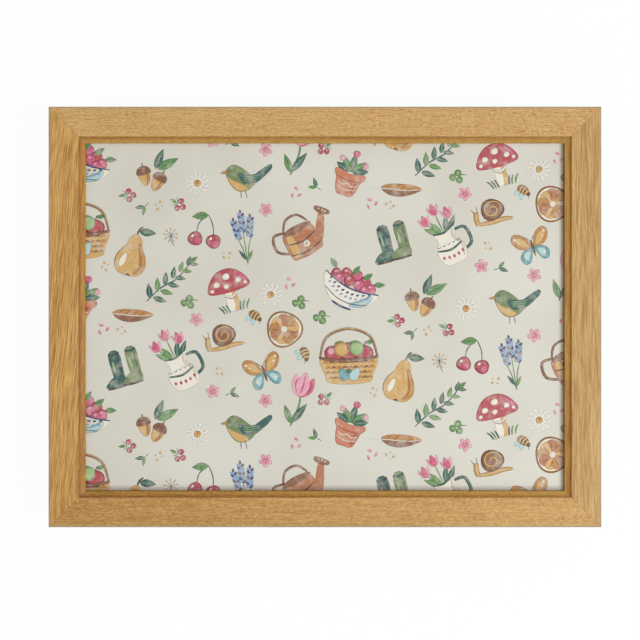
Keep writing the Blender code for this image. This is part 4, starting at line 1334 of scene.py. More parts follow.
# %% [markdown]
# ## Filling the cover
#
# A drawn form looks like soap. Real cloth is held at the seam and at the zip and pushed
# out everywhere else by the beads, so it swells and puckers. That is a cloth simulation:
# the form is remeshed evenly, the seam and the zip's surroundings are held, and pressure
# works on the rest for twenty frames. The cloth starts a little flatter than the form, and
# afterwards no point may have moved far. Then the top and the base are pressed flat again,
# and the sides are kept clear of the frame, as the board, the lap and the frame do it.

# %% Zip's place
ZIP_HEIGHT = 22.5 * MM
ZIP_HALF_LENGTH = 110 * MM
ZIP_SLOT_HALF = 2.6 * MM
BACK_ZONE = 0.8 * CUSHION_HALF_WIDTH


def back_wall(x, z):
    """How far back the lower panel lies, at x along it and at height z."""
    fall = max((SEAM_HEIGHT - z) / (SEAM_HEIGHT + FLATTENING), 0)
    depth, power = BASE_SIDE
    inset = depth * (1 - (1 - fall**power) ** (1 / power))
    return (CUSHION_HALF_WIDTH - draw_in(x, CUSHION_HALF_LENGTH)) * (1 - inset / CUSHION_HALF_WIDTH)


# %% Swell the form
FORM_STEPS = 44
VOXEL = 5 * MM
HELD_ZONE, FREE_ZONE = 2.5 * MM, 9 * MM
START_FLATTER = 0.03
START_INSET = 0.8 * MM
CLOTH_FRAMES = 20
COTTON = {
    "quality": 6, "mass": 0.3, "tension_stiffness": 18, "compression_stiffness": 18,
    "shear_stiffness": 6, "bending_stiffness": 0.4, "use_pressure": True,
    "uniform_pressure_force": 16.0, "shrink_min": -0.07, "vertex_group_mass": "held",
}
LONGEST_MOVE = 6 * MM
DEEPEST_SINK = 1.5 * MM
FRAME_CLEAR = Vector((193.4 * MM, 141.4 * MM))
UNDER_FRAME = 43 * MM
UNDER_FRAME_BLEND = 6 * MM


def smooth_share(value, start, end):
    share = min(max((value - start) / (end - start), 0), 1)
    return share * share * (3 - 2 * share)


def freedom(point):
    """0 where the cloth is held, at the seam and round the zip, and 1 where it is free."""
    from_seam = abs(point.z - SEAM_HEIGHT)
    beyond = max(abs(point.x) - ZIP_HALF_LENGTH, abs(point.z - ZIP_HEIGHT) - ZIP_SLOT_HALF, 0)
    from_zip = beyond if point.y > BACK_ZONE else FREE_ZONE
    return smooth_share(min(from_seam, from_zip), HELD_ZONE, FREE_ZONE)


def cushion_form():
    """The drawn form, closed, in even squares of one voxel."""
    bm = bmesh.new()
    for upper in (True, False):
        made = bmesh.ops.create_grid(bm, x_segments=FORM_STEPS, y_segments=FORM_STEPS, size=1)
        for vertex in made["verts"]:
            vertex.co = cover_point(vertex.co.x, vertex.co.y, upper)
        if not upper:
            faces = {face for vertex in made["verts"] for face in vertex.link_faces}
            bmesh.ops.reverse_faces(bm, faces=list(faces))
    bmesh.ops.remove_doubles(bm, verts=bm.verts, dist=0.01 * MM)
    form = new_object("cushion_form", mesh_of("cushion_form", bm))
    even = form.modifiers.new("even", "REMESH")
    even.mode = "VOXEL"
    even.voxel_size = VOXEL
    mesh = plain_mesh("cushion_form", form)
    bpy.data.objects.remove(form)
    return mesh


def swell(mesh):
    """Put the cloth under pressure, and cap how far it moves."""
    free = [freedom(vertex.co) for vertex in mesh.vertices]
    normals = [vertex.normal.copy() for vertex in mesh.vertices]
    for vertex, share, normal in zip(mesh.vertices, free, normals):
        vertex.co -= normal * (START_INSET * share)
        vertex.co.z += (SEAM_HEIGHT - vertex.co.z) * START_FLATTER * share
    start = [vertex.co.copy() for vertex in mesh.vertices]
    bag = new_object("cushion_cloth", mesh)
    held = bag.vertex_groups.new(name="held")
    for index, share in enumerate(free):
        held.add([index], 1 - share, "REPLACE")
    cloth = bag.modifiers.new("cloth", "CLOTH")
    for setting, value in COTTON.items():
        setattr(cloth.settings, setting, value)
    cloth.settings.effector_weights.gravity = 0
    scene = bpy.context.scene
    for frame_number in range(1, CLOTH_FRAMES + 1):
        scene.frame_set(frame_number)
    swollen = plain_mesh("cushion_swollen", bag)
    scene.frame_set(1)
    bpy.data.objects.remove(bag)
    for vertex, at, normal in zip(swollen.vertices, start, normals):
        move = vertex.co - at
        move *= min(1, LONGEST_MOVE / max(move.length, MM / 1000))
        vertex.co = at + move + normal * max(-DEEPEST_SINK - move.dot(normal), 0)
    return swollen


def press(mesh):
    """Flatten what bears on the board and the lap, and keep the sides clear of the frame."""
    for vertex in mesh.vertices:
        at = vertex.co
        at.z = min(max(at.z, 0), CUSHION_HEIGHT)
        room = smooth_share(at.z, UNDER_FRAME - UNDER_FRAME_BLEND, UNDER_FRAME)
        for axis, limit in enumerate(FRAME_CLEAR):
            over = abs(at[axis]) - limit
            if over > 0:
                at[axis] -= math.copysign(over * room, at[axis])


bag_mesh = cushion_form()
bag_mesh = swell(bag_mesh)
press(bag_mesh)
print("cloth vertices:", len(bag_mesh.vertices))

# %% [markdown]
# ## Sewing the cover
#
# The swollen form is made finer and cut at the seam into the two panels. A machine seam
# with a cord in it is always a little shorter than the cloth, which gives short creases
# across it. They are moved into the mesh here, close-set at the seam and gone after a few
# centimetres. The cloth keeps a record of how it was cut flat, as an attribute, so that
# the weave runs over the edges as it does on cloth.

# %% Cloth, creases and cut
CLOTH_THICKNESS = 0.6 * MM
CREASE_HEIGHT = 0.9 * MM
CREASE_SPACING = 13 * MM
CREASE_REACH = 13 * MM
LUMP_HEIGHT = 0.7 * MM
LUMP_SPACING, SMALL_LUMP_SPACING = 28 * MM, 11 * MM
SMOOTH_NEAR_FLAT = 14 * MM
SEAM_ZONE = 5 * MM
SEAM_TUCK = 0.9 * MM
SEAM_HALF_GAP = 0.15 * MM
SEAM_SAMPLES = 600

seam_places = KDTree(4 * SEAM_SAMPLES)
for i in range(4 * SEAM_SAMPLES):
    quarter, share = divmod(i, SEAM_SAMPLES)
    u, v = (2 * share / SEAM_SAMPLES - 1, -1) if quarter % 2 else (1, 2 * share / SEAM_SAMPLES - 1)
    x, y = seam_point(u, v, SEAM_TUCK)
    seam_places.insert(((-x, -y, 0) if quarter > 1 else (x, y, 0)), i)
seam_places.balance()


def drawn_to_seam(at):
    """Take cloth that is close to the seam's height out to the seam, into the piping."""
    near = 1 - smooth_share(abs(at.z - SEAM_HEIGHT), 0.3 * MM, SEAM_ZONE)
    if near == 0:
        return at
    place = seam_places.find((at.x, at.y, 0))[0]
    return at.lerp(Vector((place.x, place.y, at.z)), near)


def creased(at, normal):
    """Move a point of the cover by the creases at the seam and the lumps of the filling."""
    from_seam = abs(at.z - SEAM_HEIGHT)
    side = 1 if at.z > SEAM_HEIGHT else -1
    around = Vector((at.x, at.y, side * 0.3)) / CREASE_SPACING
    crease = noise.noise(around) + 0.5 * noise.noise(around * 2.3)
    lumps = noise.noise(at / LUMP_SPACING) + 0.5 * noise.noise(at / SMALL_LUMP_SPACING)
    near = math.exp(-from_seam / CREASE_REACH)
    height = CREASE_HEIGHT * crease * near + LUMP_HEIGHT * lumps * (1 - near)
    flat = min(at.z, CUSHION_HEIGHT - at.z)
    return at + normal * (height * freedom(at) * smooth_share(flat, 0, SMOOTH_NEAR_FLAT))


def flat_cut(at, normal):
    """Where a point of the cover lay on the cloth before sewing."""
    drop = CUSHION_HEIGHT - at.z if at.z > SEAM_HEIGHT else at.z
    sideways = Vector((normal.x, normal.y))
    length = sideways.length
    if length > 1e-6:
        sideways = sideways / length * drop * min(length * 4, 1)
    return Vector((at.x, at.y)) + sideways


def sewn_panel(name, upper):
    """One panel of the cover, cut from the swollen form."""
    bm = bmesh.new()
    bm.from_mesh(fine_mesh)
    lift = SEAM_HALF_GAP if upper else -SEAM_HALF_GAP
    whole = bm.verts[:] + bm.edges[:] + bm.faces[:]
    bmesh.ops.bisect_plane(
        bm, geom=whole, plane_co=(0, 0, SEAM_HEIGHT + lift), plane_no=(0, 0, -1 if upper else 1),
        clear_outer=True,
    )
    if not upper:
        cut_zip_slot(bm)
    cut = bm.verts.layers.float_vector.new("cut")
    bm.normal_update()
    moved = {vertex: drawn_to_seam(creased(vertex.co, vertex.normal)) for vertex in bm.verts}
    for vertex in bm.verts:
        vertex[cut] = (*flat_cut(vertex.co, vertex.normal), 0)
    for vertex, at in moved.items():
        vertex.co = at
    panel = new_object(name, mesh_of(name, bm))
    wall = panel.modifiers.new("cloth", "SOLIDIFY")
    wall.thickness = CLOTH_THICKNESS
    wall.offset = -1
    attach(panel, "cushion")
    return panel


def cut_zip_slot(bm):
    """Open the back of the lower panel for the zip."""
    along, up = Vector((1, 0, 0)), Vector((0, 0, 1))
    for normal, place in (
        (along, -ZIP_HALF_LENGTH), (along, ZIP_HALF_LENGTH),
        (up, ZIP_HEIGHT - ZIP_SLOT_HALF), (up, ZIP_HEIGHT + ZIP_SLOT_HALF),
    ):
        near = {face for face in bm.faces if face.calc_center_median().y > BACK_ZONE}
        near |= {item for face in near for item in (*face.edges, *face.verts)}
        bmesh.ops.bisect_plane(bm, geom=list(near), plane_co=normal * place, plane_no=normal)
    inside = [f for f in bm.faces if in_zip_slot(f.calc_center_median())]
    bmesh.ops.delete(bm, geom=inside, context="FACES")


def in_zip_slot(at):
    beside = abs(at.x) < ZIP_HALF_LENGTH and abs(at.z - ZIP_HEIGHT) < ZIP_SLOT_HALF
    return beside and at.y > BACK_ZONE


source = new_object("cushion_source", bag_mesh)
finer = source.modifiers.new("finer", "SUBSURF")
finer.levels = finer.render_levels = 1
fine_mesh = plain_mesh("cushion_fine", source)
bpy.data.objects.remove(source)
upper_cover = sewn_panel("cover_top", True)
lower_cover = sewn_panel("cover_base", False)
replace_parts(upper_cover, "cushion_upper_panel")
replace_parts(lower_cover, "cushion_lower_panel")
print("panel faces:", len(upper_cover.data.polygons), len(lower_cover.data.polygons))

# %% [markdown]
# The bag of beads is the swollen form again, a little smaller, so that it fills the cover.
# Where it hangs free at the sides, the beads press small knobs into its fleece.

# %% Bag of beads
LINER_GAP_SIDE = 4.4 * MM
LINER_GAP_FLAT = 0.95 * MM
LINER_LEAST_GAP = 0.9 * MM
BEAD = 4.5 * MM
KNOB_DEPTH, KNOB_HEIGHT = 0.3 * MM, 0.25 * MM

liner_mesh = fine_mesh.copy()
liner_mesh.name = "bead_bag"
moved = []
for vertex in liner_mesh.vertices:
    at, normal = vertex.co, vertex.normal
    flatness = smooth_share(abs(normal.z), 0.8, 1.0)
    gap = LINER_GAP_SIDE + (LINER_GAP_FLAT - LINER_GAP_SIDE) * flatness
    knobs = KNOB_HEIGHT * noise.noise(at / BEAD)
    moved.append(at - normal * (gap + (KNOB_DEPTH + knobs) * (1 - flatness)))
for vertex, at in zip(liner_mesh.vertices, moved):
    vertex.co = at
    vertex.co.z = min(max(at.z, LINER_LEAST_GAP), CUSHION_HEIGHT - LINER_LEAST_GAP)
liner_mesh.shade_smooth()
bead_bag = new_object("bead_bag", liner_mesh)
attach(bead_bag, "cushion")
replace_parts(bead_bag, "bead_filled_liner")
print("bead bag faces:", len(bead_bag.data.polygons))

# %% [markdown]
# ## Cotton, and the bag's fleece
#
# The cover is plain canvas. A plain weave is two sets of threads that pass over and under
# each other in turn: a warp thread is high where its neighbours are low. The weave is
# written as one formula on the cloth's own attribute, and thicker and thinner threads are
# two noises that are stretched along them.

# %% Canvas and fleece
SLUB_WIDTH, SLUB_LENGTH = 1.1, 22.0


def weave(finish, u, v):
    """Height of a plain weave with one thread per unit, from 0 to 1."""
    warp_turn = (v + u.math("FLOOR")) * math.pi
    weft_turn = (u + v.math("FLOOR") + 1) * math.pi
    warp = finish.ridges(u) * 0.5 + warp_turn.math("COSINE") * 0.25
    weft = finish.ridges(v) * 0.5 + weft_turn.math("COSINE") * 0.25
    return warp.math("MAXIMUM", weft) + 0.25


class Canvas(Finish):
    """Woven cotton that follows an attribute."""

    def __init__(self, name, attribute, thread, pale, deep, roughness=0.85):
        super().__init__(name, specular_ior_level=0.2, sheen_weight=0.12, sheen_roughness=0.5)
        across, along, _ = self.parts(self.attribute(attribute, "Vector"))
        u, v = across / thread, along / thread
        threads = weave(self, u, v)
        slub_u = self.noise(self.vector(u / SLUB_WIDTH, v / SLUB_LENGTH, 0.0), 1.0)
        slub_v = self.noise(self.vector(u / SLUB_LENGTH, v / SLUB_WIDTH, 5.0), 1.0)
        drift = self.mottle(45 * MM)
        tone = threads * 0.5 + slub_u * 0.25 + slub_v * 0.25
        colour = self.mix(self.step(tone, 0.15, 0.85), deep, pale)
        self.set("Base Color", self.mix(drift * 0.14, colour, deep))
        self.set("Roughness", roughness - threads * 0.1)
        self.bump(threads + slub_u * 0.3 + slub_v * 0.3, 0.12 * MM, 0.7)


cover_canvas = Canvas("cover_canvas", "cut", 0.75 * MM, srgb(208, 198, 178), srgb(158, 146, 124))
for panel in (upper_cover, lower_cover):
    dress(panel, cover_canvas)

fleece = Finish("bag_fleece", roughness=0.8)
fibre = fleece.mottle(1.4 * MM, 3.0, 0.6, 1.5)
beads = fleece.mottle(BEAD, 1.0)
fleece.tint(fibre, (214, 212, 204), (240, 239, 234))
fleece.bump(fibre * 0.2 + beads, 0.5 * MM, 0.6)
dress(bead_bag, fleece)

# %% [markdown]
# ## Piping
#
# The piping is a cord in a strip of the same cloth. Its stitches pull it in at every few
# millimetres. A Geometry Nodes tree takes the line of the seam, sets its radius by a wave
# along the line, and sweeps a circle along it.

# %% Piping in the seam
PIPING_RADIUS = 1.9 * MM
PIPING_GROW = 2.3 * MM
PIPING_STEP = 1.1 * MM
STITCH_PITCH = 3.3 * MM
PIPING_STEPS = 22
BUMPS_PER_METRE = 160.0


def line_through(name, points, closed=False):
    """A curve of straight steps through points."""
    curve = bpy.data.curves.new(name, "CURVE")
    curve.dimensions = "3D"
    line = curve.splines.new("POLY")
    line.points.add(len(points) - 1)
    for point, at in zip(line.points, points):
        point.co = (*at, 1)
    line.use_cyclic_u = closed
    return new_object(name, curve)


def seam_line():
    """The line of the piping, once round the cushion."""
    shares = [i / PIPING_STEPS - 1 for i in range(2 * PIPING_STEPS)]
    square = [(s, -1) for s in shares] + [(1, s) for s in shares]
    square += [(-s, 1) for s in shares] + [(-1, -s) for s in shares]
    points = [(*seam_point(u, v, PIPING_GROW), SEAM_HEIGHT) for u, v in square]
    return line_through("piping_line", points, closed=True)


piping_cotton = Finish("piping_cotton", roughness=0.85, specular_ior_level=0.2, sheen_weight=0.1)
twill = piping_cotton.mottle((0.7 * MM, 0.7 * MM, 0.5 * MM), 1.0)
piping_cotton.tint(twill, (124, 110, 86), (176, 160, 134))
piping_cotton.bump(twill, 0.15 * MM, 0.8)

tree = Tree(
    "sweep_piping", radius=PIPING_RADIUS, step=PIPING_STEP, stitch=STITCH_PITCH,
    finish=piping_cotton.material,
)
fine_line = tree.node(
    "GeometryNodeResampleCurve", {"mode": "LENGTH"},
    {"Curve": tree.given("Geometry"), "Length": tree.given("Step")},
)
length_along = tree.node("GeometryNodeSplineParameter", None, None, "Length")
pull = (length_along / tree.given("Stitch") * (2 * math.pi)).math("SINE")
uneven = tree.noise(tree.node("GeometryNodeInputPosition"), 1.0)
uneven.socket.node.inputs["Scale"].default_value = BUMPS_PER_METRE
shaped = tree.node(
    "GeometryNodeSetCurveRadius", None,
    {"Curve": fine_line, "Radius": 0.95 + pull * 0.03 + (uneven - 0.5) * 0.1},
)
cord = tree.sweep(shaped, tree.circle(12, tree.given("Radius")))
piping = tree.grow("piping", seam_line(), cord)
piping.data.shade_smooth()
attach(piping, "cushion")
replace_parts(piping, "cushion_piping")
print("piping faces:", len(piping.data.polygons))

# %% [markdown]
# ## The zip
#
# The zip's two tapes, its stops, its slider and its pull have the right shape in the packed
# model and only need their finishes. Its coils don't: a nylon coil is one long spring of
# loops. So a loop is set down at every pitch along a line that follows the cushion's back,
# leaning one way above the split and the other way below it. Rows of stitches hold the
# cloth to the tapes. They are set down in the same way, and pressed onto the cloth.

# %% Coils and rows of stitches
COIL_PITCH = 1.3 * MM
COIL_HALF_RUN = 106 * MM
COIL_OFFSET = 1.38 * MM
COIL_HALF_HEIGHT, COIL_HALF_DEPTH = 0.66 * MM, 0.54 * MM
COIL_WIRE = 0.26 * MM
COIL_SINK = 0.1 * MM
COIL_LEAN = math.radians(17)
STITCH_LENGTH, STITCH_RADIUS = 2.4 * MM, 0.32 * MM
STITCH_MARGIN = 1.7 * MM
STITCH_START_OUT = 0.4 * MM


def spread(half, count):
    """Places at even steps from -half to half."""
    steps = (count - 1) // 2
    return [half * (i / steps - 1) for i in range(count)]


def points_along(tree):
    """Points at every pitch of the line that goes into a tree, and their turn along it."""
    made = tree.node(
        "GeometryNodeCurveToPoints", {"mode": "LENGTH"},
        {"Curve": tree.given("Geometry"), "Length": tree.given("Pitch")},
    )
    return made, Wire(tree, made.socket.node.outputs["Rotation"])


def coil(name, way, finish):
    """One coil of the zip; way is 1 above the split and -1 below it."""
    tree = Tree(
        "wind_coil", pitch=COIL_PITCH, wire=COIL_WIRE, half_height=COIL_HALF_HEIGHT,
        half_depth=COIL_HALF_DEPTH, lean=COIL_LEAN * way, finish=finish.material,
    )
    points, _ = points_along(tree)
    ring = tree.circle(12, 1.0)
    oval = tree.resized(ring, tree.given("Half Height"), tree.given("Half Depth"), 1.0)
    loop = tree.sweep(oval, tree.circle(5, tree.given("Wire")))
    row = tree.on_points(points, loop, tree.vector(0.0, math.pi / 2, tree.given("Lean")))
    z = ZIP_HEIGHT + way * COIL_OFFSET
    line = [(x, back_wall(x, z) - COIL_SINK, z) for x in spread(COIL_HALF_RUN, 41)]
    made = tree.grow(name, line_through("coil_line", line), row)
    made.data.shade_smooth()
    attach(made, "cushion")
    return made


def stitches(name, line, cloth, finish):
    """A row of stitches along a line, pressed onto a piece of cloth."""
    tree = Tree(
        "sew_row", pitch=STITCH_PITCH, length=STITCH_LENGTH, thread=STITCH_RADIUS,
        cloth=cloth, finish=finish.material,
    )
    points, turns = points_along(tree)
    faces = tree.node("GeometryNodeObjectInfo", None, {"Object": tree.given("Cloth")}, "Geometry")
    settings = {"target_element": "FACES"}
    nearest = tree.node("GeometryNodeProximity", settings, {0: faces}, "Position")
    pressed = tree.node("GeometryNodeSetPosition", None, {"Geometry": points, "Position": nearest})
    ball = tree.node("GeometryNodeMeshUVSphere", None, {"Segments": 7, "Rings": 6, "Radius": 1.0})
    thread = tree.given("Thread")
    stitch = tree.resized(ball, thread, thread, tree.given("Length") * 0.5)
    row = tree.on_points(pressed, stitch, turns)
    made = tree.grow(name, line_through("stitch_line", line), row)
    made.data.shade_smooth()
    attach(made, "cushion")
    return made


# %% Finishes of the zip
nylon = Finish("coil_nylon", roughness=0.38)
nylon.tint(nylon.mottle((3 * MM, 1 * MM, 1 * MM), 1.0), (164, 152, 130), (188, 176, 154))
nylon.bump(nylon.mottle((0.5 * MM, 0.2 * MM, 0.2 * MM), 1.0), 0.02 * MM, 0.4)

tape = Finish("zip_tape", roughness=0.8, specular_ior_level=0.2)
rib = tape.ridges(tape.x / (1.1 * MM))
twist = tape.ridges((tape.z + tape.x) / (0.5 * MM))
tape.tint(rib * 0.5 + twist * 0.5, (142, 130, 108), (192, 180, 156))
tape.bump(rib + twist, 0.08 * MM, 0.6)

zip_alloy = Finish("zip_alloy", metallic=1.0)
brushed = zip_alloy.mottle((4 * MM, 0.3 * MM, 0.3 * MM))
rubbed = zip_alloy.mottle(5 * MM, 3.0)
patina = zip_alloy.ramp(rubbed * 0.6 + brushed * 0.4, 0.36, 0.66)
zip_alloy.tint(patina, (112, 108, 102), (182, 178, 170))
zip_alloy.set("Roughness", 0.26 + brushed * 0.2 + rubbed * 0.08)
zip_alloy.bump(brushed, 0.01 * MM, 0.3)

thread_cotton = Finish("thread_cotton", roughness=0.7, specular_ior_level=0.3)
ply = thread_cotton.ridges((thread_cotton.x + thread_cotton.z * 1.6) / (0.45 * MM))
thread_cotton.tint(ply, (206, 196, 172), (240, 234, 218))
thread_cotton.bump(ply, 0.05 * MM, 0.6)

# %% Zip pieces
for label in ("upper", "lower"):
    dress(NODES[f"zip_tape_{label}"], tape)
    way = 1 if label == "upper" else -1
    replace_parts(coil(f"zip_loops_{label}", way, nylon), f"zip_coil_{label}")
for name in ("zip_stop_closed_end", "zip_stop_open_end", "zip_slider", "zip_pull"):
    dress(NODES[name], zip_alloy)

# A row stops half a stitch before the corner, where it meets the next, so that no two cross.
hem_high, hem_wide = ZIP_SLOT_HALF + STITCH_MARGIN, ZIP_HALF_LENGTH + STITCH_MARGIN
hem_zs = [ZIP_HEIGHT + z for z in spread(hem_high - STITCH_LENGTH / 2, 5)]
hem_xs = spread(hem_wide - STITCH_LENGTH / 2, 41)
HEM_ROWS = (
    ("above", [(x, ZIP_HEIGHT + hem_high) for x in hem_xs]),
    ("below", [(x, ZIP_HEIGHT - hem_high) for x in hem_xs]),
    ("closed_end", [(hem_wide, z) for z in hem_zs]), ("open_end", [(-hem_wide, z) for z in hem_zs]),
)
for label, places in HEM_ROWS:
    hem_line = [(x, back_wall(x, z) + STITCH_START_OUT, z) for x, z in places]
    stitches(f"zip_stitches_{label}", hem_line, lower_cover, thread_cotton)
print("zip rows:", len(HEM_ROWS))

# %% [markdown]
# ## Hooks and loops
#
# Four pairs of strips hold the cushion on. The strip under the tray is a tape with stiff
# nylon hooks in straight rows, and the one on the cushion is a tape with a pile of soft
# loops. A hook and two loops are small bent tubes, and the tree that laid out the pictures
# sets them down too.

# %% Strip shapes
STRIP_CORNER = 3 * MM
TAPE_HEIGHT = 0.45 * MM
PILE_MARGIN = 0.7 * MM
HOOK_PITCH = 1.5 * MM
LOOP_COUNT = 1800
PILE_SEED = 12


def bent_tube(name, path, radius, sides=4):
    """A thin tube along a few points, closed at its ends, as an object of its own."""
    bm = bmesh.new()
    path = [Vector([value * MM for value in at]) for at in path]
    angles = [2 * math.pi * k / sides for k in range(sides)]
    section = [Vector((radius * math.cos(a), radius * math.sin(a), 0)) for a in angles]
    rings = []
    for i, at in enumerate(path):
        before, after = path[max(i - 1, 0)], path[min(i + 1, len(path) - 1)]
        turn = (after - before).to_track_quat("Z", "Y").to_matrix()
        rings.append([bm.verts.new(at + turn @ corner) for corner in section])
    for low, high in zip(rings, rings[1:]):
        for k in range(sides):
            bm.faces.new((low[k - 1], low[k], high[k], high[k - 1]))
    bm.faces.new(rings[0][::-1])
    bm.faces.new(rings[-1])
    bmesh.ops.recalc_face_normals(bm, faces=bm.faces)
    return new_object(name, mesh_of(name, bm))


def strip_tape(name, low, high):
    """The tape of a strip: a thin plate with round corners."""
    bm = bmesh.new()
    middle = (low + high) / 2
    straight_x = (high.x - low.x) / 2 - STRIP_CORNER
    straight_y = (high.y - low.y) / 2 - STRIP_CORNER
    ring = []
    for side_x, side_y, start in ((1, 1, 0), (-1, 1, 90), (-1, -1, 180), (1, -1, 270)):
        for angle in [math.radians(start + 22.5 * step) for step in range(5)]:
            x = middle.x + side_x * straight_x + STRIP_CORNER * math.cos(angle)
            y = middle.y + side_y * straight_y + STRIP_CORNER * math.sin(angle)
            ring.append((x, y))
    rings = [[bm.verts.new((x, y, z)) for x, y in ring] for z in (low.z, high.z)]
    for i in range(len(ring)):
        bm.faces.new((rings[0][i - 1], rings[0][i], rings[1][i], rings[1][i - 1]))
    bm.faces.new(rings[0][::-1])
    bm.faces.new(rings[1])
    made = new_object(name, mesh_of(name, bm))
    made.data.shade_flat()
    return made


def on_strip(x, y, low, high):
    """Whether a point lies on a strip, inside its round corners."""
    out_x = max(abs(x - (low.x + high.x) / 2) - ((high.x - low.x) / 2 - STRIP_CORNER), 0)
    out_y = max(abs(y - (low.y + high.y) / 2) - ((high.y - low.y) / 2 - STRIP_CORNER), 0)
    return math.hypot(out_x, out_y) < STRIP_CORNER - PILE_MARGIN


# %% Sow the strips
def collection_of(name, *objects):
    made = bpy.data.collections.new(name)
    for obj in objects:
        bpy.context.scene.collection.objects.unlink(obj)
        made.objects.link(obj)
    return made


HOOK_WIRE, LOOP_FIBRE = 0.11 * MM, 0.06 * MM
# Paths in millimetres from a strip's tape: hooks point down, loops up.
HOOK_PATH = [
    (0, 0, 0.05), (0, 0, -0.36), (0.06, 0, -0.58), (0.22, 0, -0.64), (0.36, 0, -0.54),
    (0.4, 0, -0.4),
]
WIDE_LOOP_PATH = [
    (-0.2, 0, -0.05), (-0.42, 0.1, 0.3), (-0.2, 0.2, 0.6), (0.2, 0.2, 0.6), (0.45, 0.05, 0.3),
    (0.2, 0, -0.05),
]
SLACK_LOOP_PATH = [
    (0, -0.15, -0.05), (0.1, -0.4, 0.25), (0.3, -0.1, 0.52), (0.25, 0.3, 0.4), (0, 0.3, 0.1),
    (0, 0.1, -0.05),
]

hook_stock = collection_of("hook_shapes", bent_tube("hook", HOOK_PATH, HOOK_WIRE))
loop_stock = collection_of(
    "loop_shapes", bent_tube("loop_0", WIDE_LOOP_PATH, LOOP_FIBRE, 3),
    bent_tube("loop_1", SLACK_LOOP_PATH, LOOP_FIBRE, 3),
)

hook_nylon = Finish("hook_nylon", roughness=0.45, specular_ior_level=0.2)
hook_nylon.tint(hook_nylon.mottle(2 * MM, 1.0), (38, 38, 40), (54, 54, 56))
loop_pile = Finish("loop_pile", roughness=0.8, specular_ior_level=0.1)
loop_pile.tint(loop_pile.mottle(1.5 * MM), (44, 44, 46), (72, 72, 74))


def join(target, other):
    """Put one piece's mesh into another's."""
    bm = bmesh.new()
    bm.from_mesh(target.data)
    bm.from_mesh(other.data)
    bm.to_mesh(target.data)
    bm.free()
    bpy.data.objects.remove(other)


def hook_rows(low, high, base, chance):
    """Straight rows of hooks, every other one shifted, each hook facing left or right."""
    columns = int((high.x - low.x) / HOOK_PITCH)
    lines = int((high.y - low.y) / HOOK_PITCH)
    spots = [
        (low.x + HOOK_PITCH * (c + 0.5 + 0.25 * (r % 2)), low.y + HOOK_PITCH * (r + 0.6))
        for c in range(columns) for r in range(lines)
    ]
    return [
        (0, (x, y, base), math.pi * chance.randrange(2))
        for x, y in spots if on_strip(x, y, low, high)
    ]


def loop_rows(low, high, base, chance):
    """Loops of both shapes, strewn and turned at random."""
    spots = [
        (chance.uniform(low.x, high.x), chance.uniform(low.y, high.y)) for _ in range(LOOP_COUNT)
    ]
    return [
        (chance.randrange(2), (x, y, base), chance.uniform(0, 2 * math.pi))
        for x, y in spots if on_strip(x, y, low, high)
    ]


def sow_strip(label, hooked, chance):
    """One strip: its tape and its hooks or loops."""
    node = f"{'hook' if hooked else 'loop'}_strip_{label}"
    low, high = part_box(node)
    tape_low, tape_high = low.copy(), high.copy()
    if hooked:
        tape_low.z = high.z - TAPE_HEIGHT
        rows, stock, finish = hook_rows(low, high, tape_low.z, chance), hook_stock, hook_nylon
    else:
        tape_high.z = low.z + TAPE_HEIGHT
        rows, stock, finish = loop_rows(low, high, tape_high.z, chance), loop_stock, loop_pile
    pile = set_down(f"{node}_pile", rows, stock, finish)
    join(pile, strip_tape(f"{node}_tape", tape_low, tape_high))
    dress(pile, finish)
    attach(pile, "tray" if hooked else "cushion")
    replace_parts(pile, node)
    return len(pile.data.polygons)


chance = random.Random(PILE_SEED)
pile_faces = [
    sow_strip(f"{side_y}_{side_x}", hooked, chance)
    for hooked in (True, False) for side_y in ("front", "back") for side_x in ("left", "right")
]
print("strip faces:", pile_faces)

# %% [markdown]
# ## Board, paper and steel
#
# Under the print are a fibre board and a brown paper backing. Points and V-nails are
# zinc-plated steel. They only show when the tray is lifted off, but are finished as well.

# %% Hidden finishes
fibre_board = Finish("fibre_board", roughness=0.8)
chips = fibre_board.mottle((1.6 * MM, 0.5 * MM, 0.5 * MM), 3.0, 0.6, 1.0)
clouds = fibre_board.mottle(18 * MM)
fibre_board.tint(chips * 0.7 + clouds * 0.3, (118, 88, 58), (182, 148, 108))
fibre_board.bump(chips, 0.06 * MM, 0.6)

kraft = Finish("kraft_paper", roughness=0.75)
fibres = kraft.mottle((4 * MM, 0.5 * MM, 0.5 * MM), 3.0, 0.6, 2.0)
ribs = kraft.ridges(kraft.y / (1.4 * MM))
kraft.tint(fibres * 0.8 + ribs * 0.2, (148, 116, 82), (196, 162, 122))
kraft.bump(fibres + ribs * 0.3, 0.04 * MM, 0.5)

steel = Finish("zinc_steel", metallic=1.0)
spangle = steel.mottle(1.8 * MM, 1.0)
steel.tint(spangle, (176, 180, 184), (208, 212, 214))
steel.set("Roughness", 0.3 + spangle * 0.25)

dress(NODES["tray_board"], fibre_board)
dress(NODES["backing_sheet"], kraft)
steel_pieces = [name for name in NODES if name.startswith(("v_nail", "retaining_point"))]
for name in steel_pieces:
    dress(NODES[name], steel)
print("steel pieces:", len(steel_pieces))

# %% [markdown]
# ## Floor, light and view
#
# The picture has a white background, but a floor is needed to carry the object's shadow.
# For the camera, and for what metal mirrors, the floor is mostly its own even white, with
# a share of the light that really falls on it, so that a faint shadow stays.
#
# A large soft lamp stands high to the right of the tray, and a much weaker one low at the
# front. The world fills in the rest.

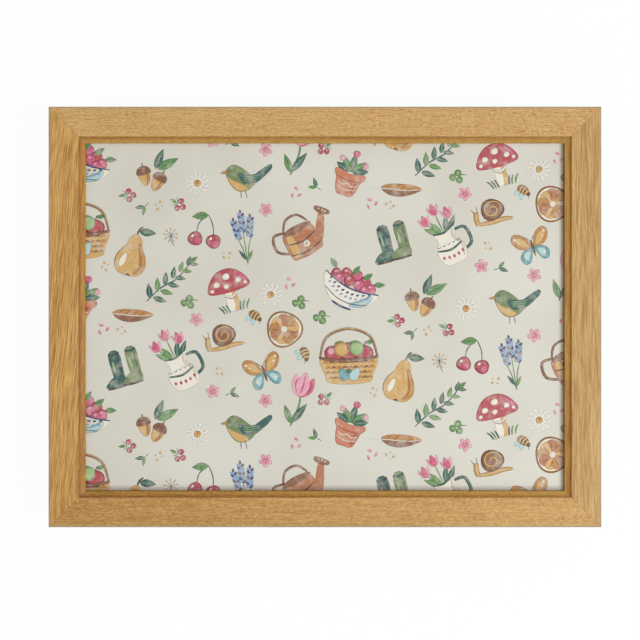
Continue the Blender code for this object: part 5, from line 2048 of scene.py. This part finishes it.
# %% Floor
FLOOR_HALF = 3.0
FLOOR_SINK = 0.1 * MM
FLOOR_SHADOW_SHARE = 0.06
FLOOR_GLOW = 1.012
bm = bmesh.new()
bmesh.ops.create_grid(bm, x_segments=2, y_segments=2, size=FLOOR_HALF)
floor = new_object("floor", mesh_of("floor", bm))
floor.data.transform(Matrix.Translation((0, 0, -FLOOR_SINK)))
floor_finish = Finish("studio_floor", roughness=0.9)
floor_finish.set("Base Color", (0.9, 0.9, 0.9, 1))
floor_finish.set("Specular IOR Level", 0.0)


def seen_directly(board):
    """1 for camera, glossy and transmission rays, 0 for the rest."""
    rays = board.node("ShaderNodeLightPath").socket.node.outputs
    camera_ray, glossy, through = (
        Wire(board, rays[f"Is {kind} Ray"]) for kind in ("Camera", "Glossy", "Transmission")
    )
    return (camera_ray + glossy + through).math("MINIMUM", 1.0)


glow_values = {"Color": (1, 1, 1, 1), "Strength": FLOOR_GLOW}
glow = floor_finish.node("ShaderNodeEmission", None, glow_values)
surface = Wire(floor_finish, floor_finish.shader.outputs[0])
blend = floor_finish.node(
    "ShaderNodeMixShader", None,
    {0: seen_directly(floor_finish) * (1 - FLOOR_SHADOW_SHARE), 1: surface, 2: glow},
)
output = floor_finish.tree.nodes["Material Output"]
floor_finish.tree.links.new(blend.socket, output.inputs["Surface"])
dress(floor, floor_finish)

# %% Lamps and world
WORLD_LIGHT = 0.55
LAMPS = (
    ("key", (1.1, -0.3, 2.3), 0.9, 27.0),
    ("front", (0.1, -1.5, 1.1), 1.2, 2.0),
)


def soft_lamp(name, place, size, power):
    lamp = bpy.data.lights.new(name, "AREA")
    lamp.shape = "SQUARE"
    lamp.size = size
    lamp.energy = power
    made = new_object(name, lamp)
    made.location = place
    made.rotation_euler = (-Vector(place)).to_track_quat("-Z", "Y").to_euler()


for lamp in LAMPS:
    soft_lamp(*lamp)

world = bpy.data.worlds.new("studio")
world.use_nodes = True
bpy.context.scene.world = world
sky = Board(world.node_tree)
background = world.node_tree.nodes["Background"]
level = seen_directly(sky) * (1 - WORLD_LIGHT) + WORLD_LIGHT
world.node_tree.links.new(level.socket, background.inputs["Strength"])
background.inputs["Color"].default_value = (1, 1, 1, 1)
bpy.context.scene.view_settings.view_transform = "Standard"
